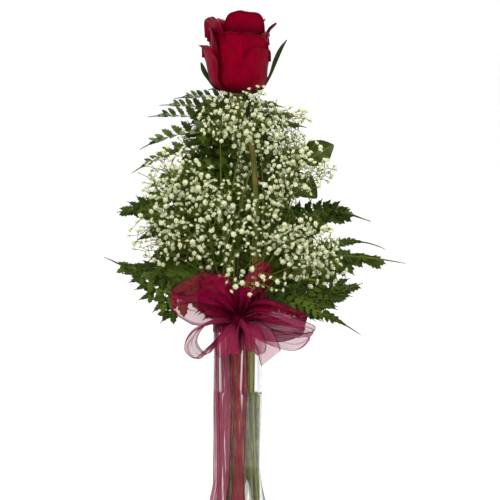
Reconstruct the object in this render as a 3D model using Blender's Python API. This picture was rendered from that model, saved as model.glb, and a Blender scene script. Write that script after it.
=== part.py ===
"""A rose in a clear bud vase, with fern fronds, baby's breath and a ribbon bow.

Metres, +Z up. The origin is the centre of the vase's flat foot. The front of the vase looks along -Y.
"""

import random
from math import cos, pi, radians, sin, sqrt

import bmesh
import bpy
from mathutils import Matrix, Vector
from mathutils.bvhtree import BVHTree

# Vase: a swelling foot, a waist and a straight neck
FOOT_RADIUS = 0.0270
BELLY_RADIUS = 0.0340
BELLY_HEIGHT = 0.0280
WAIST_RADIUS = 0.0179
WAIST_HEIGHT = 0.1160
NECK_RADIUS = 0.0192
NECK_HEIGHT = 0.1700
LIP_HEIGHT = 0.2380
GLASS = 0.0028
VASE_FLOOR = 0.0090
VASE_FLOOR_RADIUS = 0.0200
VASE_SIDES = 24

# Water and the stems that stand in it
WATER_HEIGHT = 0.1720
GAP = 0.0003
STEM_RING = 0.0136
STEM_RADIUS = 0.0012
STEM_TWIST = radians(60)
STEM_FOOT = VASE_FLOOR + GAP
STEM_SIDES = 4
STEM_STEPS = 2

# Rose
ROSE_STEM_RADIUS = 0.0030
BLOOM_BASE = Vector((-0.0010, 0.0000, 0.4115))
BLOOM_LEAN = radians(3.5)
BLOOM_PLACE = Matrix.Translation(BLOOM_BASE) @ Matrix.Rotation(BLOOM_LEAN, 4, "Y")
PETAL = 0.0010

# Foliage
BLADE = 0.0008
LEAF = 0.0009
CLEARANCE = 0.0006

# Baby's breath
BRANCH_RADIUS = 0.0008
TWIG_RADIUS = 0.0005
FLORET_RADIUS = 0.0026
FLORETS = 20

# Ribbon
RIBBON = 0.0010
TIE_HEIGHT = 0.2250
TIE_WIDTH = 0.0100
KNOT = Vector((0.0012, -0.0263, 0.2300))


def mm(x, y, z):
    """A point or length given in millimetres."""
    return Vector((x, y, z)) * 0.001


def clear_scene():
    for thing in list(bpy.data.objects):
        bpy.data.objects.remove(thing)


def finish(name, colour, roughness, alpha=1.0, transmission=0.0):
    material = bpy.data.materials.new(name)
    material.use_nodes = True
    shader = material.node_tree.nodes["Principled BSDF"]
    shader.inputs["Base Color"].default_value = (*colour, 1.0)
    shader.inputs["Roughness"].default_value = roughness
    shader.inputs["Metallic"].default_value = 0.0
    shader.inputs["Alpha"].default_value = alpha
    shader.inputs["Transmission Weight"].default_value = transmission
    return material


def add_object(name, shape):
    """Turn a bmesh into an object in the scene, and free the bmesh."""
    mesh = bpy.data.meshes.new(name)
    bmesh.ops.recalc_face_normals(shape, faces=shape.faces[:])
    shape.to_mesh(mesh)
    shape.free()
    thing = bpy.data.objects.new(name, mesh)
    bpy.context.scene.collection.objects.link(thing)
    return thing


def read_shape(thing):
    """The object's mesh with its modifiers, as a bmesh."""
    shape = bmesh.new()
    shape.from_object(thing, bpy.context.evaluated_depsgraph_get())
    return shape


def keep_largest_body(shape):
    """Drop loose scraps that a union leaves beside the main body."""
    unseen = set(shape.verts)
    bodies = []
    while unseen:
        front = [unseen.pop()]
        body = set(front)
        while front:
            vertex = front.pop()
            for edge in vertex.link_edges:
                other = edge.other_vert(vertex)
                if other in unseen:
                    unseen.remove(other)
                    body.add(other)
                    front.append(other)
        bodies.append(body)
    bodies.sort(key=len)
    scraps = [vertex for body in bodies[:-1] for vertex in body]
    bmesh.ops.delete(shape, geom=scraps, context="VERTS")


def fuse(name, pieces, material, smooth=None, solver="EXACT"):
    """Join overlapping closed pieces into one body with one Boolean union."""
    body = pieces[0]
    others = bpy.data.collections.new(name + "_pieces")
    bpy.context.scene.collection.children.link(others)
    for piece in pieces[1:]:
        bpy.context.scene.collection.objects.unlink(piece)
        others.objects.link(piece)
    if len(pieces) > 1:
        join = body.modifiers.new("Join", "BOOLEAN")
        join.operation = "UNION"
        join.operand_type = "COLLECTION"
        join.collection = others
        join.solver = solver
    shape = read_shape(body)
    keep_largest_body(shape)
    bmesh.ops.triangulate(shape, faces=shape.faces[:])
    for piece in pieces:
        bpy.data.objects.remove(piece)
    bpy.data.collections.remove(others)
    fused = add_object(name, shape)
    fused.data.materials.append(material)
    if smooth is not None:
        fused.data.shade_smooth()
        fused.data.set_sharp_from_angle(angle=smooth)
    return fused


def curve_through(points, steps):
    """Points along a smooth curve through the given ones."""
    ends = [2 * points[0] - points[1], *points, 2 * points[-1] - points[-2]]
    curve = []
    for a, b, c, d in zip(ends, ends[1:], ends[2:], ends[3:]):
        for step in range(steps):
            t = step / steps
            bend = (2 * a - 5 * b + 4 * c - d) * t * t + (3 * b - a - 3 * c + d) * t ** 3
            curve.append(0.5 * (2 * b + (c - a) * t + bend))
    curve.append(points[-1].copy())
    return curve


def point_on(curve, t):
    """The point a share t of the way along a curve, and the curve's direction there."""
    place = min(max(t, 0.0), 1.0) * (len(curve) - 1)
    index = min(int(place), len(curve) - 2)
    step = curve[index + 1] - curve[index]
    return curve[index] + step * (place - index), step.normalized()


def sweep(points, radii, sides):
    """A closed tube through the points."""
    shape = bmesh.new()
    along = (points[1] - points[0]).normalized()
    across = along.orthogonal().normalized()
    ring = None
    for index, point in enumerate(points):
        before = points[max(index - 1, 0)]
        after = points[min(index + 1, len(points) - 1)]
        heading = (after - before).normalized()
        across = (across - heading * across.dot(heading)).normalized()
        up = heading.cross(across)
        new_ring = []
        for side in range(sides):
            turn = 2 * pi * side / sides
            offset = (across * cos(turn) + up * sin(turn)) * radii[index]
            new_ring.append(shape.verts.new(point + offset))
        if ring is None:
            shape.faces.new(new_ring)
        else:
            for side in range(sides):
                corner = (side + 1) % sides
                shape.faces.new((ring[side], ring[corner], new_ring[corner], new_ring[side]))
        ring = new_ring
    shape.faces.new(ring)
    return shape


def thicken(shape, thickness):
    """Give a sheet of triangles its thickness, alike on both faces."""
    bmesh.ops.triangulate(shape, faces=shape.faces[:])
    shape.normal_update()
    offsets = {vertex: vertex.normal * thickness / 2 for vertex in shape.verts}
    made = bmesh.ops.extrude_face_region(shape, geom=shape.faces[:], use_keep_orig=True)
    lower = [item for item in made["geom"] if isinstance(item, bmesh.types.BMVert)]
    originals = {tuple(vertex.co): offset for vertex, offset in offsets.items()}
    for vertex in lower:
        vertex.co = vertex.co - originals[tuple(vertex.co)]
    for vertex, offset in offsets.items():
        vertex.co = vertex.co + offset
    bmesh.ops.triangulate(shape, faces=shape.faces[:])
    return shape


class Neighbours:
    """The pieces that already stand in the arrangement, for keeping new ones clear of them."""

    def __init__(self):
        self.trees = []

    def add_shape(self, shape):
        self.trees.append(BVHTree.FromBMesh(shape))
        shape.free()

    def add(self, thing):
        self.add_shape(read_shape(thing))

    def touches(self, shape, *more):
        tree = BVHTree.FromBMesh(shape)
        shape.free()
        return any(tree.overlap(other) for other in [*self.trees, *more])


# The vase and its water


def ease(start, end, t):
    return start + (end - start) * (1 - cos(pi * t)) / 2


def quarter_round(start, end, t):
    return start + (end - start) * sqrt(max(0.0, 1 - (1 - t) ** 2))


def vase_radius(z):
    """Outer radius of the glass at a height."""
    if z < BELLY_HEIGHT:
        return quarter_round(FOOT_RADIUS, BELLY_RADIUS, z / BELLY_HEIGHT)
    if z < WAIST_HEIGHT:
        return ease(BELLY_RADIUS, WAIST_RADIUS, (z - BELLY_HEIGHT) / (WAIST_HEIGHT - BELLY_HEIGHT))
    if z < NECK_HEIGHT:
        return ease(WAIST_RADIUS, NECK_RADIUS, (z - WAIST_HEIGHT) / (NECK_HEIGHT - WAIST_HEIGHT))
    return NECK_RADIUS


def bore_radius(z):
    """Inner radius of the glass at a height above the vase's floor."""
    if z < BELLY_HEIGHT:
        rise = (z - VASE_FLOOR) / (BELLY_HEIGHT - VASE_FLOOR)
        return quarter_round(VASE_FLOOR_RADIUS, BELLY_RADIUS - GLASS, rise)
    return vase_radius(z) - GLASS


def turned(name, outline, sides=VASE_SIDES):
    """A solid turned about Z from an outline of (radius, height) that starts and ends on the axis."""
    shape = bmesh.new()
    corners = [shape.verts.new((radius, 0.0, z)) for radius, z in outline]
    edges = [shape.edges.new(pair) for pair in zip(corners, corners[1:])]
    bmesh.ops.spin(shape, geom=corners + edges, cent=(0, 0, 0), axis=(0, 0, 1),
                   angle=2 * pi, steps=sides, use_merge=True)
    bmesh.ops.remove_doubles(shape, verts=shape.verts[:], dist=1e-6)
    return add_object(name, shape)


def heights(low, high, steps):
    return [low + (high - low) * step / steps for step in range(steps + 1)]


def bore_levels():
    """Heights of the rows of the glass's inner wall, from the floor to the neck."""
    lower = [VASE_FLOOR + (BELLY_HEIGHT - VASE_FLOOR) * share for share in (0.0, 0.25, 0.6)]
    return lower + heights(BELLY_HEIGHT, WAIST_HEIGHT, 6) + [NECK_HEIGHT]


def make_vase(material):
    outer = [BELLY_HEIGHT * share for share in (0.0, 0.25, 0.6)]
    outer += heights(BELLY_HEIGHT, WAIST_HEIGHT, 6) + [NECK_HEIGHT]
    outline = [(0.0, 0.0)] + [(vase_radius(z), z) for z in outer]
    shoulder = LIP_HEIGHT - GLASS / 2
    outline += [(NECK_RADIUS, shoulder), (NECK_RADIUS - GLASS / 2, LIP_HEIGHT)]
    outline.append((NECK_RADIUS - GLASS, shoulder))
    outline += [(bore_radius(z), z) for z in reversed(bore_levels())] + [(0.0, VASE_FLOOR)]
    vase = turned("vase", outline)
    vase.data.materials.append(material)
    vase.data.shade_smooth()
    vase.data.set_sharp_from_angle(angle=radians(40))
    return vase


def make_water(stems, material):
    """Water up to the neck, with a plain hole for each stem that stands in it."""
    side = [(bore_radius(z) - 2 * GAP, z) for z in bore_levels()]
    side[0] = (side[0][0], STEM_FOOT)
    outline = [(0.0, STEM_FOOT), *side, (side[-1][0], WATER_HEIGHT), (0.0, WATER_HEIGHT)]
    water = turned("water", outline)
    holes = bpy.data.collections.new("stem_holes")
    bpy.context.scene.collection.children.link(holes)
    for route, radius in stems:
        under = route[0] + (route[0] - route[1]).normalized() * 0.004
        sides = 6
        wide = (radius + GAP) / cos(pi / sides)
        hole = add_object("stem_hole", sweep([under, *route[1:]], [wide] * len(route), sides))
        bpy.context.scene.collection.objects.unlink(hole)
        holes.objects.link(hole)
    cut = water.modifiers.new("Holes", "BOOLEAN")
    cut.operation = "DIFFERENCE"
    cut.operand_type = "COLLECTION"
    cut.collection = holes
    cut.solver = "EXACT"
    shape = read_shape(water)
    for hole in list(holes.objects):
        bpy.data.objects.remove(hole)
    bpy.data.collections.remove(holes)
    bpy.data.objects.remove(water)
    keep_largest_body(shape)
    bmesh.ops.triangulate(shape, faces=shape.faces[:])
    water = add_object("water", shape)
    water.data.materials.append(material)
    return water


# Stems


def on_ring(angle, z):
    return Vector((STEM_RING * cos(angle), STEM_RING * sin(angle), z))


def standing_stem(slot):
    """The straight part of a stem, from the vase's floor to its lip, in its place round the neck."""
    angle = radians(slot)
    return [on_ring(angle + STEM_TWIST, STEM_FOOT), on_ring(angle, LIP_HEIGHT)]


def stem_route(slot, above):
    """A stem's whole route: straight in the vase, then a smooth curve through the points above."""
    foot, lip = standing_stem(slot)
    rise = (lip - foot).normalized() * (above[0] - lip).length
    curve = curve_through([lip - rise, lip, *above], STEM_STEPS)
    return [foot, *curve[STEM_STEPS:]]


# Rose bloom


def petal(azimuth, spread, radius, height, lean, roll, point, columns, rows):
    """A petal: a curved blade that rises from the base cup, bulges, and rolls out at its rim."""
    shape = bmesh.new()
    root = 0.0035
    shoulder = 0.0095
    grid = []
    for row in range(rows + 1):
        rise = (row / rows) ** 1.3
        line = []
        for column in range(columns + 1):
            u = 2 * column / columns - 1
            top = height * (1 - 0.13 * abs(u) ** 3)
            z = root + (top - root) * rise
            swell = sin(pi / 2 * min(1.0, (z - root) / shoulder))
            distance = radius - 0.005 + 0.005 * swell + lean * rise + 0.0012 * u
            lip = max(0.0, rise - 0.72) / 0.28
            distance += roll * lip ** 2 * (0.5 + 0.5 * abs(u))
            distance += point * lip ** 2 * max(0.0, 1 - 3 * abs(u))
            narrow = 0.45 + 0.55 * sin(pi / 2 * min(1.0, 0.25 + 1.3 * rise))
            round_top = 1 - 0.14 * max(0.0, rise - 0.6) / 0.4
            angle = radians(azimuth) + radians(spread) * u * narrow * round_top
            line.append(shape.verts.new((distance * cos(angle), distance * sin(angle), z)))
        grid.append(line)
    for low, high in zip(grid, grid[1:]):
        for column in range(columns):
            shape.faces.new((low[column], low[column + 1], high[column + 1], high[column]))
    return add_object("petal", thicken(shape, PETAL))


OUTER_PETALS = [
    # azimuth, spread, radius, height, lean, roll, point
    (-72, 60, 0.0215, 0.0515, -0.0005, 0.0020, 0.0000),
    (-4, 50, 0.0226, 0.0560, -0.0010, 0.0010, 0.0045),
    (62, 50, 0.0222, 0.0540, 0.0000, 0.0040, 0.0000),
    (122, 50, 0.0224, 0.0560, 0.0000, 0.0035, 0.0000),
    (-158, 50, 0.0222, 0.0610, 0.0014, 0.0085, 0.0000),
    (182, 42, 0.0240, 0.0375, 0.0010, 0.0020, 0.0085),
]
MIDDLE_PETALS = [
    (-72, 68, 0.0180, 0.0655, -0.0010, 0.0010, 0.0000),
    (4, 50, 0.0165, 0.0610, -0.0010, 0.0030, 0.0000),
    (78, 56, 0.0168, 0.0620, -0.0010, 0.0025, 0.0000),
    (150, 56, 0.0168, 0.0625, -0.0010, 0.0025, 0.0000),
]
INNER_PETALS = [
    (20, 85, 0.0108, 0.0610, -0.0020, 0.0015, 0.0000),
    (140, 85, 0.0108, 0.0620, -0.0020, 0.0015, 0.0000),
    (-100, 85, 0.0108, 0.0630, -0.0020, 0.0010, 0.0000),
]


HEART = [(0.0, 0.0), (0.005, 0.0), (0.013, 0.0012), (0.0185, 0.0040), (0.0205, 0.0080), (0.0185, 0.0110),
         (0.0100, 0.0130), (0.0072, 0.0250), (0.0068, 0.0400), (0.0045, 0.0540), (0.0, 0.0570)]


def make_bloom(material):
    pieces = [turned("bloom_heart", HEART)]
    for rows, columns, petals in ((5, 6, OUTER_PETALS), (4, 5, MIDDLE_PETALS), (4, 5, INNER_PETALS)):
        for values in petals:
            pieces.append(petal(*values, columns, rows))
    bloom = fuse("rose_bloom", pieces, material, smooth=radians(50))
    bloom.data.transform(BLOOM_PLACE)
    return bloom


# Rose stem, sepals and leaves


ROSE_STEM = [
    mm(-6.0, 3.0, 9.3), mm(-0.5, 1.5, 70), mm(5.6, -0.6, 125), mm(9.8, -1.7, 185), mm(12.3, -2.2, 238),
    mm(13.8, -3.0, 290), mm(14.2, -3.0, 330), mm(11.5, -2.0, 365), mm(4.5, -0.5, 392), mm(-1.2, 0.0, 406),
]
HIP = [(0.0, -0.0090), (0.0032, -0.0080), (0.0054, -0.0030), (0.0050, -0.0004), (0.0, -0.0004)]


def sepal(azimuth, stations):
    """A narrow green blade that lies along the stations of (distance from the axis, height)."""
    shape = bmesh.new()
    outward = Vector((cos(radians(azimuth)), sin(radians(azimuth)), 0.0))
    side = Vector((-outward.y, outward.x, 0.0))
    widths = [0.0026, 0.0030, 0.0022, 0.0012, 0.0018, 0.0005]
    rows = []
    for index, ((distance, z), width) in enumerate(zip(stations, widths)):
        centre = BLOOM_PLACE @ (outward * distance + Vector((0, 0, z)))
        twisted = side * cos(0.3 * index) + outward * sin(0.3 * index)
        rows.append([shape.verts.new(centre + twisted * width * turn) for turn in (-1, 1)])
    for low, high in zip(rows, rows[1:]):
        shape.faces.new((low[0], low[1], high[1], high[0]))
    return add_object("sepal", thicken(shape, LEAF))


SEPALS = [
    # azimuth, then the way it lies as (distance, height) in millimetres from the bloom's base
    (-8, [(2, -2.6), (13, -1.6), (21.5, 3.5), (27.5, 15), (32, 27), (37, 41)]),
    (176, [(2, -2.6), (13, -1.6), (20, 1.5), (25, 8), (28, 15), (30, 22)]),
    (82, [(2, -2.8), (12, -2.4), (20, -1.0), (26, 3), (30, 10), (31, 18)]),
    (-128, [(2, -2.8), (9, -3.2), (14, -6), (18, -11), (19, -17), (17, -23)]),
    (-62, [(2, -2.8), (9, -3.2), (14, -5), (19, -9), (21, -15), (20, -21)]),
]


def leaflet(base, heading, facing, length, width, curl):
    """A toothed oval leaf, arched along its midrib and folded a little at it."""
    shape = bmesh.new()
    heading = heading.normalized()
    side = heading.cross(facing).normalized()
    facing = side.cross(heading).normalized()
    stations = [0.0, 0.14, 0.32, 0.50, 0.68, 0.85, 1.0]
    fullness = [0.0, 0.62, 0.96, 1.0, 0.82, 0.45, 0.0]
    ribs = []
    edges = {-1: [], 1: []}
    for t, full in zip(stations, fullness):
        centre = base + heading * length * t - facing * curl * length * t * t
        ribs.append(shape.verts.new(centre))
        raised = facing * 0.12 * width * full + heading * length * 0.05 * (0 < t < 1)
        for turn in (-1, 1):
            rim = centre + side * turn * width / 2 * full + raised
            edges[turn].append(ribs[-1] if full == 0.0 else shape.verts.new(rim))
    for turn in (-1, 1):
        rim = edges[turn]
        for index in range(len(stations) - 1):
            corners = [ribs[index], ribs[index + 1], rim[index + 1], rim[index]]
            face = []
            for corner in corners:
                if corner not in face:
                    face.append(corner)
            if turn < 0:
                face.reverse()
            shape.faces.new(face)
    return add_object("leaflet", thicken(shape, LEAF))


ROSE_LEAVES = [
    # route of the stalk in millimetres, then each leaflet: share of the stalk, heading, facing, length, width
    ([(14.2, -3, 322), (26, 4, 334), (42, 7, 345), (53, 6, 354)],
     [(1.0, (0.80, -0.1, 0.28), (-0.2, -0.9, 0.5), 27, 25),
      (0.66, (0.2, 0.1, 0.95), (0, -0.9, 0.2), 25, 20),
      (0.66, (0.72, -0.2, -0.55), (0.1, -0.9, 0.3), 29, 21),
      (0.36, (-0.15, 0.4, 0.9), (0, -0.9, 0.4), 22, 17),
      (0.36, (0.65, 0.3, -0.6), (0.1, -0.9, 0.4), 24, 17)]),
]


def make_rose_stem(material):
    lower = curve_through(ROSE_STEM, 2)
    stem = add_object("rose_stem_shaft", sweep(lower, [ROSE_STEM_RADIUS] * len(lower), 6))
    hip = turned("hip", HIP, 8)
    hip.data.transform(BLOOM_PLACE)
    pieces = [stem, hip]
    for azimuth, stations in SEPALS:
        pieces.append(sepal(azimuth, [(d * 0.001, z * 0.001) for d, z in stations]))
    for stalk, leaflets in ROSE_LEAVES:
        route = curve_through([mm(*point) for point in stalk], 2)
        pieces.append(add_object("stalk", sweep(route, [0.0009] * len(route), 4)))
        for share, heading, facing, length, width in leaflets:
            base, along = point_on(route, share)
            heading = Vector(heading).normalized()
            base = base - heading * 0.0008
            pieces.append(leaflet(base, heading, Vector(facing), length * 0.001, width * 0.001, 0.18))
    return fuse("rose_stem", pieces, material, smooth=radians(40)), lower


# Fern fronds


def pinna(root, start, end, facing, length, width, teeth, thickness=BLADE, trim=0.0):
    """A leaflet of a frond with a toothed edge. It sets out along start and ends along end.

    A trim leaves out the share of it that lies against the frond's stem.
    """
    shape = bmesh.new()
    tail = 0.14

    def rib(s):
        return root + length * (s * start + s * s / 2 * (end - start))

    def across(s):
        tangent = (start + s * (end - start)).normalized()
        side = tangent.cross(facing).normalized()
        return side, side.cross(tangent)

    def rim(s, reach, turn):
        side, up = across(s)
        return shape.verts.new(rib(s) + side * turn * reach - up * 0.15 * reach)

    stalk = shape.verts.new(rib(trim))
    notches = [(stalk, stalk)]
    for index in range(1, teeth + 1):
        s = (1 - tail) * index / teeth
        notch = width * (0.42 * (1 - s) + 0.06)
        notches.append([rim(s, notch, turn) for turn in (-1, 1)])
    for index in range(teeth):
        low, high = notches[index], notches[index + 1]
        if index == 0:
            shape.faces.new((stalk, high[1], high[0]))
        else:
            shape.faces.new((low[0], low[1], high[1], high[0]))
        s = (1 - tail) * (index + 0.85) / teeth
        reach = width * (1 - 0.8 * s)
        shape.faces.new((high[0], rim(s, reach, -1), low[0]))
        shape.faces.new((low[1], rim(s, reach, 1), high[1]))
    point = shape.verts.new(rib(1.0))
    shape.faces.new((notches[-1][0], notches[-1][1], point))
    return thicken(shape, thickness)


# Small turns, in degrees, that a leaflet tries until it is clear of its neighbours
DODGES = [
    (0, 0), (8, 0), (-8, 0), (0, 10), (0, -10), (16, 0), (-16, 0), (10, 14), (-10, -14), (24, 0), (-24, 0),
]


class Frond:
    """One fern frond: its stem's place in the neck, its route above the lip, and how its leaflets spread."""

    def __init__(self, slot, above, pairs, left, right, facing, first=0.28, last=0.88, taper=0.95, droop=0.5,
                 fold_left=6, fold_right=6, width=0.20, spread=(76, 46)):
        self.route = stem_route(slot, [mm(*point) for point in above])
        self.pairs = pairs
        self.reach = {-1: left * 0.001, 1: right * 0.001}
        self.facing = Vector(facing).normalized()
        self.first = first
        self.last = last
        self.taper = taper
        self.droop = droop
        self.fold = {-1: radians(fold_left), 1: radians(fold_right)}
        self.width = width
        self.spread = spread

    def leaflets(self):
        """Where each leaflet grows from, its direction, the frond's facing there, and its length."""
        for pair in range(self.pairs):
            q = pair / (self.pairs - 1)
            for turn in (-1, 1):
                share = self.first + (self.last - self.first) * (q + (0.3 / self.pairs if turn > 0 else 0))
                root, along = point_on(self.route[1:], share)
                side = along.cross(self.facing).normalized()
                facing = side.cross(along).normalized()
                fold = Matrix.Rotation(-turn * self.fold[turn], 3, along)
                spread = radians(self.spread[0] + (self.spread[1] - self.spread[0]) * q)
                start = along * cos(spread) + (fold @ side) * turn * sin(spread)
                length = self.reach[turn] * (1 - self.taper * q) ** 0.6
                yield root, start, fold @ facing, max(length, 0.006)


def make_frond(name, frond, neighbours, material):
    stem = frond.route
    share = [index / (len(stem) - 1) for index in range(len(stem))]
    radii = [STEM_RADIUS - (STEM_RADIUS - 0.0007) * s * s for s in share]
    pieces = [add_object("rachis", sweep(stem, radii, STEM_SIDES))]
    own = []
    for root, start, facing, length in frond.leaflets():
        teeth = 4 if length > 0.055 else 3 if length > 0.026 else 2 if length > 0.013 else 1
        width = length * frond.width + 0.002
        for rise, turn in DODGES:
            side = start.cross(facing)
            bent = Matrix.Rotation(radians(rise), 3, side) @ Matrix.Rotation(radians(turn), 3, facing) @ start
            end = (bent + Vector((0, 0, -frond.droop))).normalized()
            lie = (root, bent, end, facing, length)
            wide = pinna(*lie, width + CLEARANCE, teeth, BLADE + 2 * CLEARANCE, trim=0.10)
            if not neighbours.touches(wide, *own):
                free = pinna(*lie, width, teeth, trim=0.12)
                own.append(BVHTree.FromBMesh(free))
                free.free()
                pieces.append(add_object("pinna", pinna(*lie, width, teeth)))
                break
    return fuse(name, pieces, material)


FRONDS = {
    "fern_frond_tall": Frond(
        106, [(0, 20, 275), (4, 25, 320), (-1, 27, 370), (-8, 26, 420)], pairs=7, left=116, right=88,
        facing=(0, -1, 0.15), first=0.26, last=0.94, taper=0.78, fold_left=8, fold_right=50, droop=0.95,
        width=0.15, spread=(62, 62)),
    "fern_frond_left": Frond(
        157, [(-26, 10, 268), (-52, 16, 300), (-76, 17, 318), (-98, 14, 316)], pairs=5, left=40, right=38,
        facing=(0, -1, 0.4)),
    "fern_frond_low_left": Frond(
        182, [(-30, 3, 262), (-60, 4, 280), (-86, 1, 284), (-107, -3, 280)], pairs=5, left=56, right=34,
        facing=(0, -1, 0.4)),
    "fern_frond_right": Frond(
        55, [(26, 26, 276), (50, 36, 304), (80, 35, 317), (108, 30, 309)], pairs=6, left=34, right=34,
        facing=(0, -1, 0.5), width=0.22),
    "fern_frond_low_right": Frond(
        30, [(34, 14, 264), (62, 20, 282), (92, 22, 287), (116, 21, 282), (136, 19, 274)], pairs=6,
        left=38, right=44, facing=(0, -1, 0.4), width=0.22),
    "fern_frond_front_right": Frond(
        309, [(24, -5, 247), (52, 0, 245), (78, 3, 251), (100, 4, 259)], pairs=4, left=34, right=72,
        facing=(0, -1, 0.6), droop=0.2, spread=(34, 30)),
    "fern_frond_back": Frond(
        131, [(-16, 36, 272), (-26, 62, 308), (-30, 84, 335), (-32, 98, 345)], pairs=5, left=45, right=45,
        facing=(0, -0.75, 0.65)),
}


# Baby's breath


def twig(start, end, radius, extra=0.0):
    """A three-sided twig that ends in a small faceted floret. It is slim where it leaves its branch."""
    along = (end - start).normalized()
    head = FLORET_RADIUS + extra
    points = [start, end - along * head * 0.9, end - along * head * 0.25]
    shape = sweep(points, [radius * 0.7 + extra, radius + extra, head], 3)
    rim = shape.verts[-3:]
    bmesh.ops.delete(shape, geom=[face for face in shape.faces if all(v in rim for v in face.verts)],
                     context="FACES_ONLY")
    crown = []
    for index in range(3):
        middle = (rim[index].co + rim[(index + 1) % 3].co) / 2
        out = (middle - points[2]).normalized()
        crown.append(shape.verts.new(points[2] + out * head * 0.85 + along * head * 0.75))
    for index in range(3):
        after = (index + 1) % 3
        shape.faces.new((rim[index], rim[after], crown[index]))
        shape.faces.new((rim[after], crown[after], crown[index]))
    shape.faces.new(crown)
    return shape


def floret_places(draw, lobes, count, spacing):
    """Evenly spread places in ellipsoid lobes of (centre, radii) in millimetres."""
    places = []
    tries = 0
    while len(places) < count and tries < 6000:
        tries += 1
        centre, radii = lobes[tries % len(lobes)]
        way = Vector([draw.gauss(0, 1) for _ in range(3)]).normalized() * draw.random() ** 0.45
        place = mm(*[c + r * w for c, r, w in zip(centre, radii, way)])
        if all((place - other).length > spacing for other in places):
            places.append(place)
    return places


def in_groups(targets, largest):
    """Split targets in halves along their longest spread until each group is small enough."""
    if len(targets) <= largest:
        return [targets]
    centre = sum(targets, Vector()) / len(targets)
    far = max(targets, key=lambda target: (target - centre).length)
    ordered = sorted(targets, key=lambda target: (target - centre).dot(far - centre))
    half = len(ordered) // 2
    return in_groups(ordered[:half], largest) + in_groups(ordered[half:], largest)


def add_branch(stem, targets, neighbours, pieces):
    """A branch from the stem to one floret of a group, with the group's other florets along it."""
    def clear(start, end, radius):
        return not neighbours.touches(twig(start, end, radius, CLEARANCE))

    for tip in sorted(targets, key=lambda target: -(target - stem[-1]).length):
        roots = [point_on(stem, share)[0] for share in (0.97, 0.90, 0.83, 0.76)]
        roots = [root for root in sorted(roots, key=lambda root: (tip - root).length)
                 if clear(root, tip, BRANCH_RADIUS)]
        if roots:
            break
    if not roots:
        return
    root = roots[0]
    pieces.append(add_object("branch", twig(root, tip, BRANCH_RADIUS)))
    run = tip - root
    for target in targets:
        if target == tip:
            continue
        beside = (target - root).dot(run) / run.length_squared
        away = (target - root - run * beside).length / run.length
        for lag in (0.8, 0.5, 1.2, 0.2, 1.6):
            start = root + run * min(max(beside - lag * away, 0.12), 0.85)
            if clear(start, target, TWIG_RADIUS):
                pieces.append(add_object("floret", twig(start, target, TWIG_RADIUS)))
                break


class Spray:
    """One stem of baby's breath: its place in the neck, its route, and the lobes that its florets fill."""

    def __init__(self, seed, slot, above, lobes):
        self.draw = random.Random(seed)
        self.route = stem_route(slot, [mm(*point) for point in above])
        self.lobes = lobes


def make_spray(name, spray, neighbours, material):
    stem = spray.route
    radii = [STEM_RADIUS - 0.0005 * index / (len(stem) - 1) for index in range(len(stem))]
    pieces = [add_object("spray_stem", sweep(stem, radii, STEM_SIDES))]
    for group in in_groups(floret_places(spray.draw, spray.lobes, FLORETS, 0.013), 5):
        add_branch(stem, group, neighbours, pieces)
    return fuse(name, pieces, material)


SPRAYS = {
    "babys_breath_top": Spray(
        11, 233, [(-5, -14, 285), (6, -14, 335), (14, -12, 360)],
        [((32, -10, 400), (34, 18, 18)), ((-14, -14, 388), (24, 14, 16)), ((14, -20, 372), (26, 14, 18))]),
    "babys_breath_left": Spray(
        23, 207, [(-24, -13, 262), (-36, -18, 284), (-42, -20, 298)],
        [((-50, -20, 345), (30, 18, 28)), ((-52, -22, 300), (30, 18, 24))]),
    "babys_breath_front": Spray(
        37, 258, [(-3, -20, 256), (-3, -27, 270), (-3, -31, 282)],
        [((-6, -34, 312), (24, 14, 30)), ((4, -44, 262), (24, 10, 12))]),
    "babys_breath_right": Spray(
        41, 284, [(12, -19, 258), (26, -24, 278), (34, -25, 296)],
        [((48, -22, 345), (26, 20, 32)), ((50, -27, 288), (30, 18, 28))]),
    "babys_breath_back": Spray(
        53, 81, [(2, 30, 268), (1, 42, 292), (0, 48, 310)],
        [((20, 58, 352), (34, 18, 36)), ((-24, 55, 375), (28, 14, 24))]),
}


# Ribbon


def band(route, widths, thickness):
    """A strip of ribbon: the route of its middle line, and its half-width vector at each point."""
    shape = bmesh.new()
    rows = []
    for point, wide in zip(route, widths):
        rows.append([shape.verts.new(point - wide), shape.verts.new(point + wide)])
    for low, high in zip(rows, rows[1:]):
        shape.faces.new((low[0], low[1], high[1], high[0]))
    return thicken(shape, thickness)


def bow_loop(out, back, side_width, tip_width):
    """A loop of ribbon that leaves the knot through the points of out and comes home through back."""
    points = [KNOT, *[mm(*point) for point in out], *[mm(*point) for point in back], KNOT + mm(0, 2, 0)]
    route = curve_through(points, 2)
    widths = []
    for index in range(len(route)):
        share = index / (len(route) - 1)
        near = min(share, 1 - share)
        spread = 0.2 + 0.8 * min(1.0, 3.2 * near)
        wide = mm(*side_width).lerp(mm(*tip_width), max(0.0, (near - 0.25) / 0.25))
        widths.append(wide / 2 * spread)
    return add_object("loop", band(route, widths, RIBBON))


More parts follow.
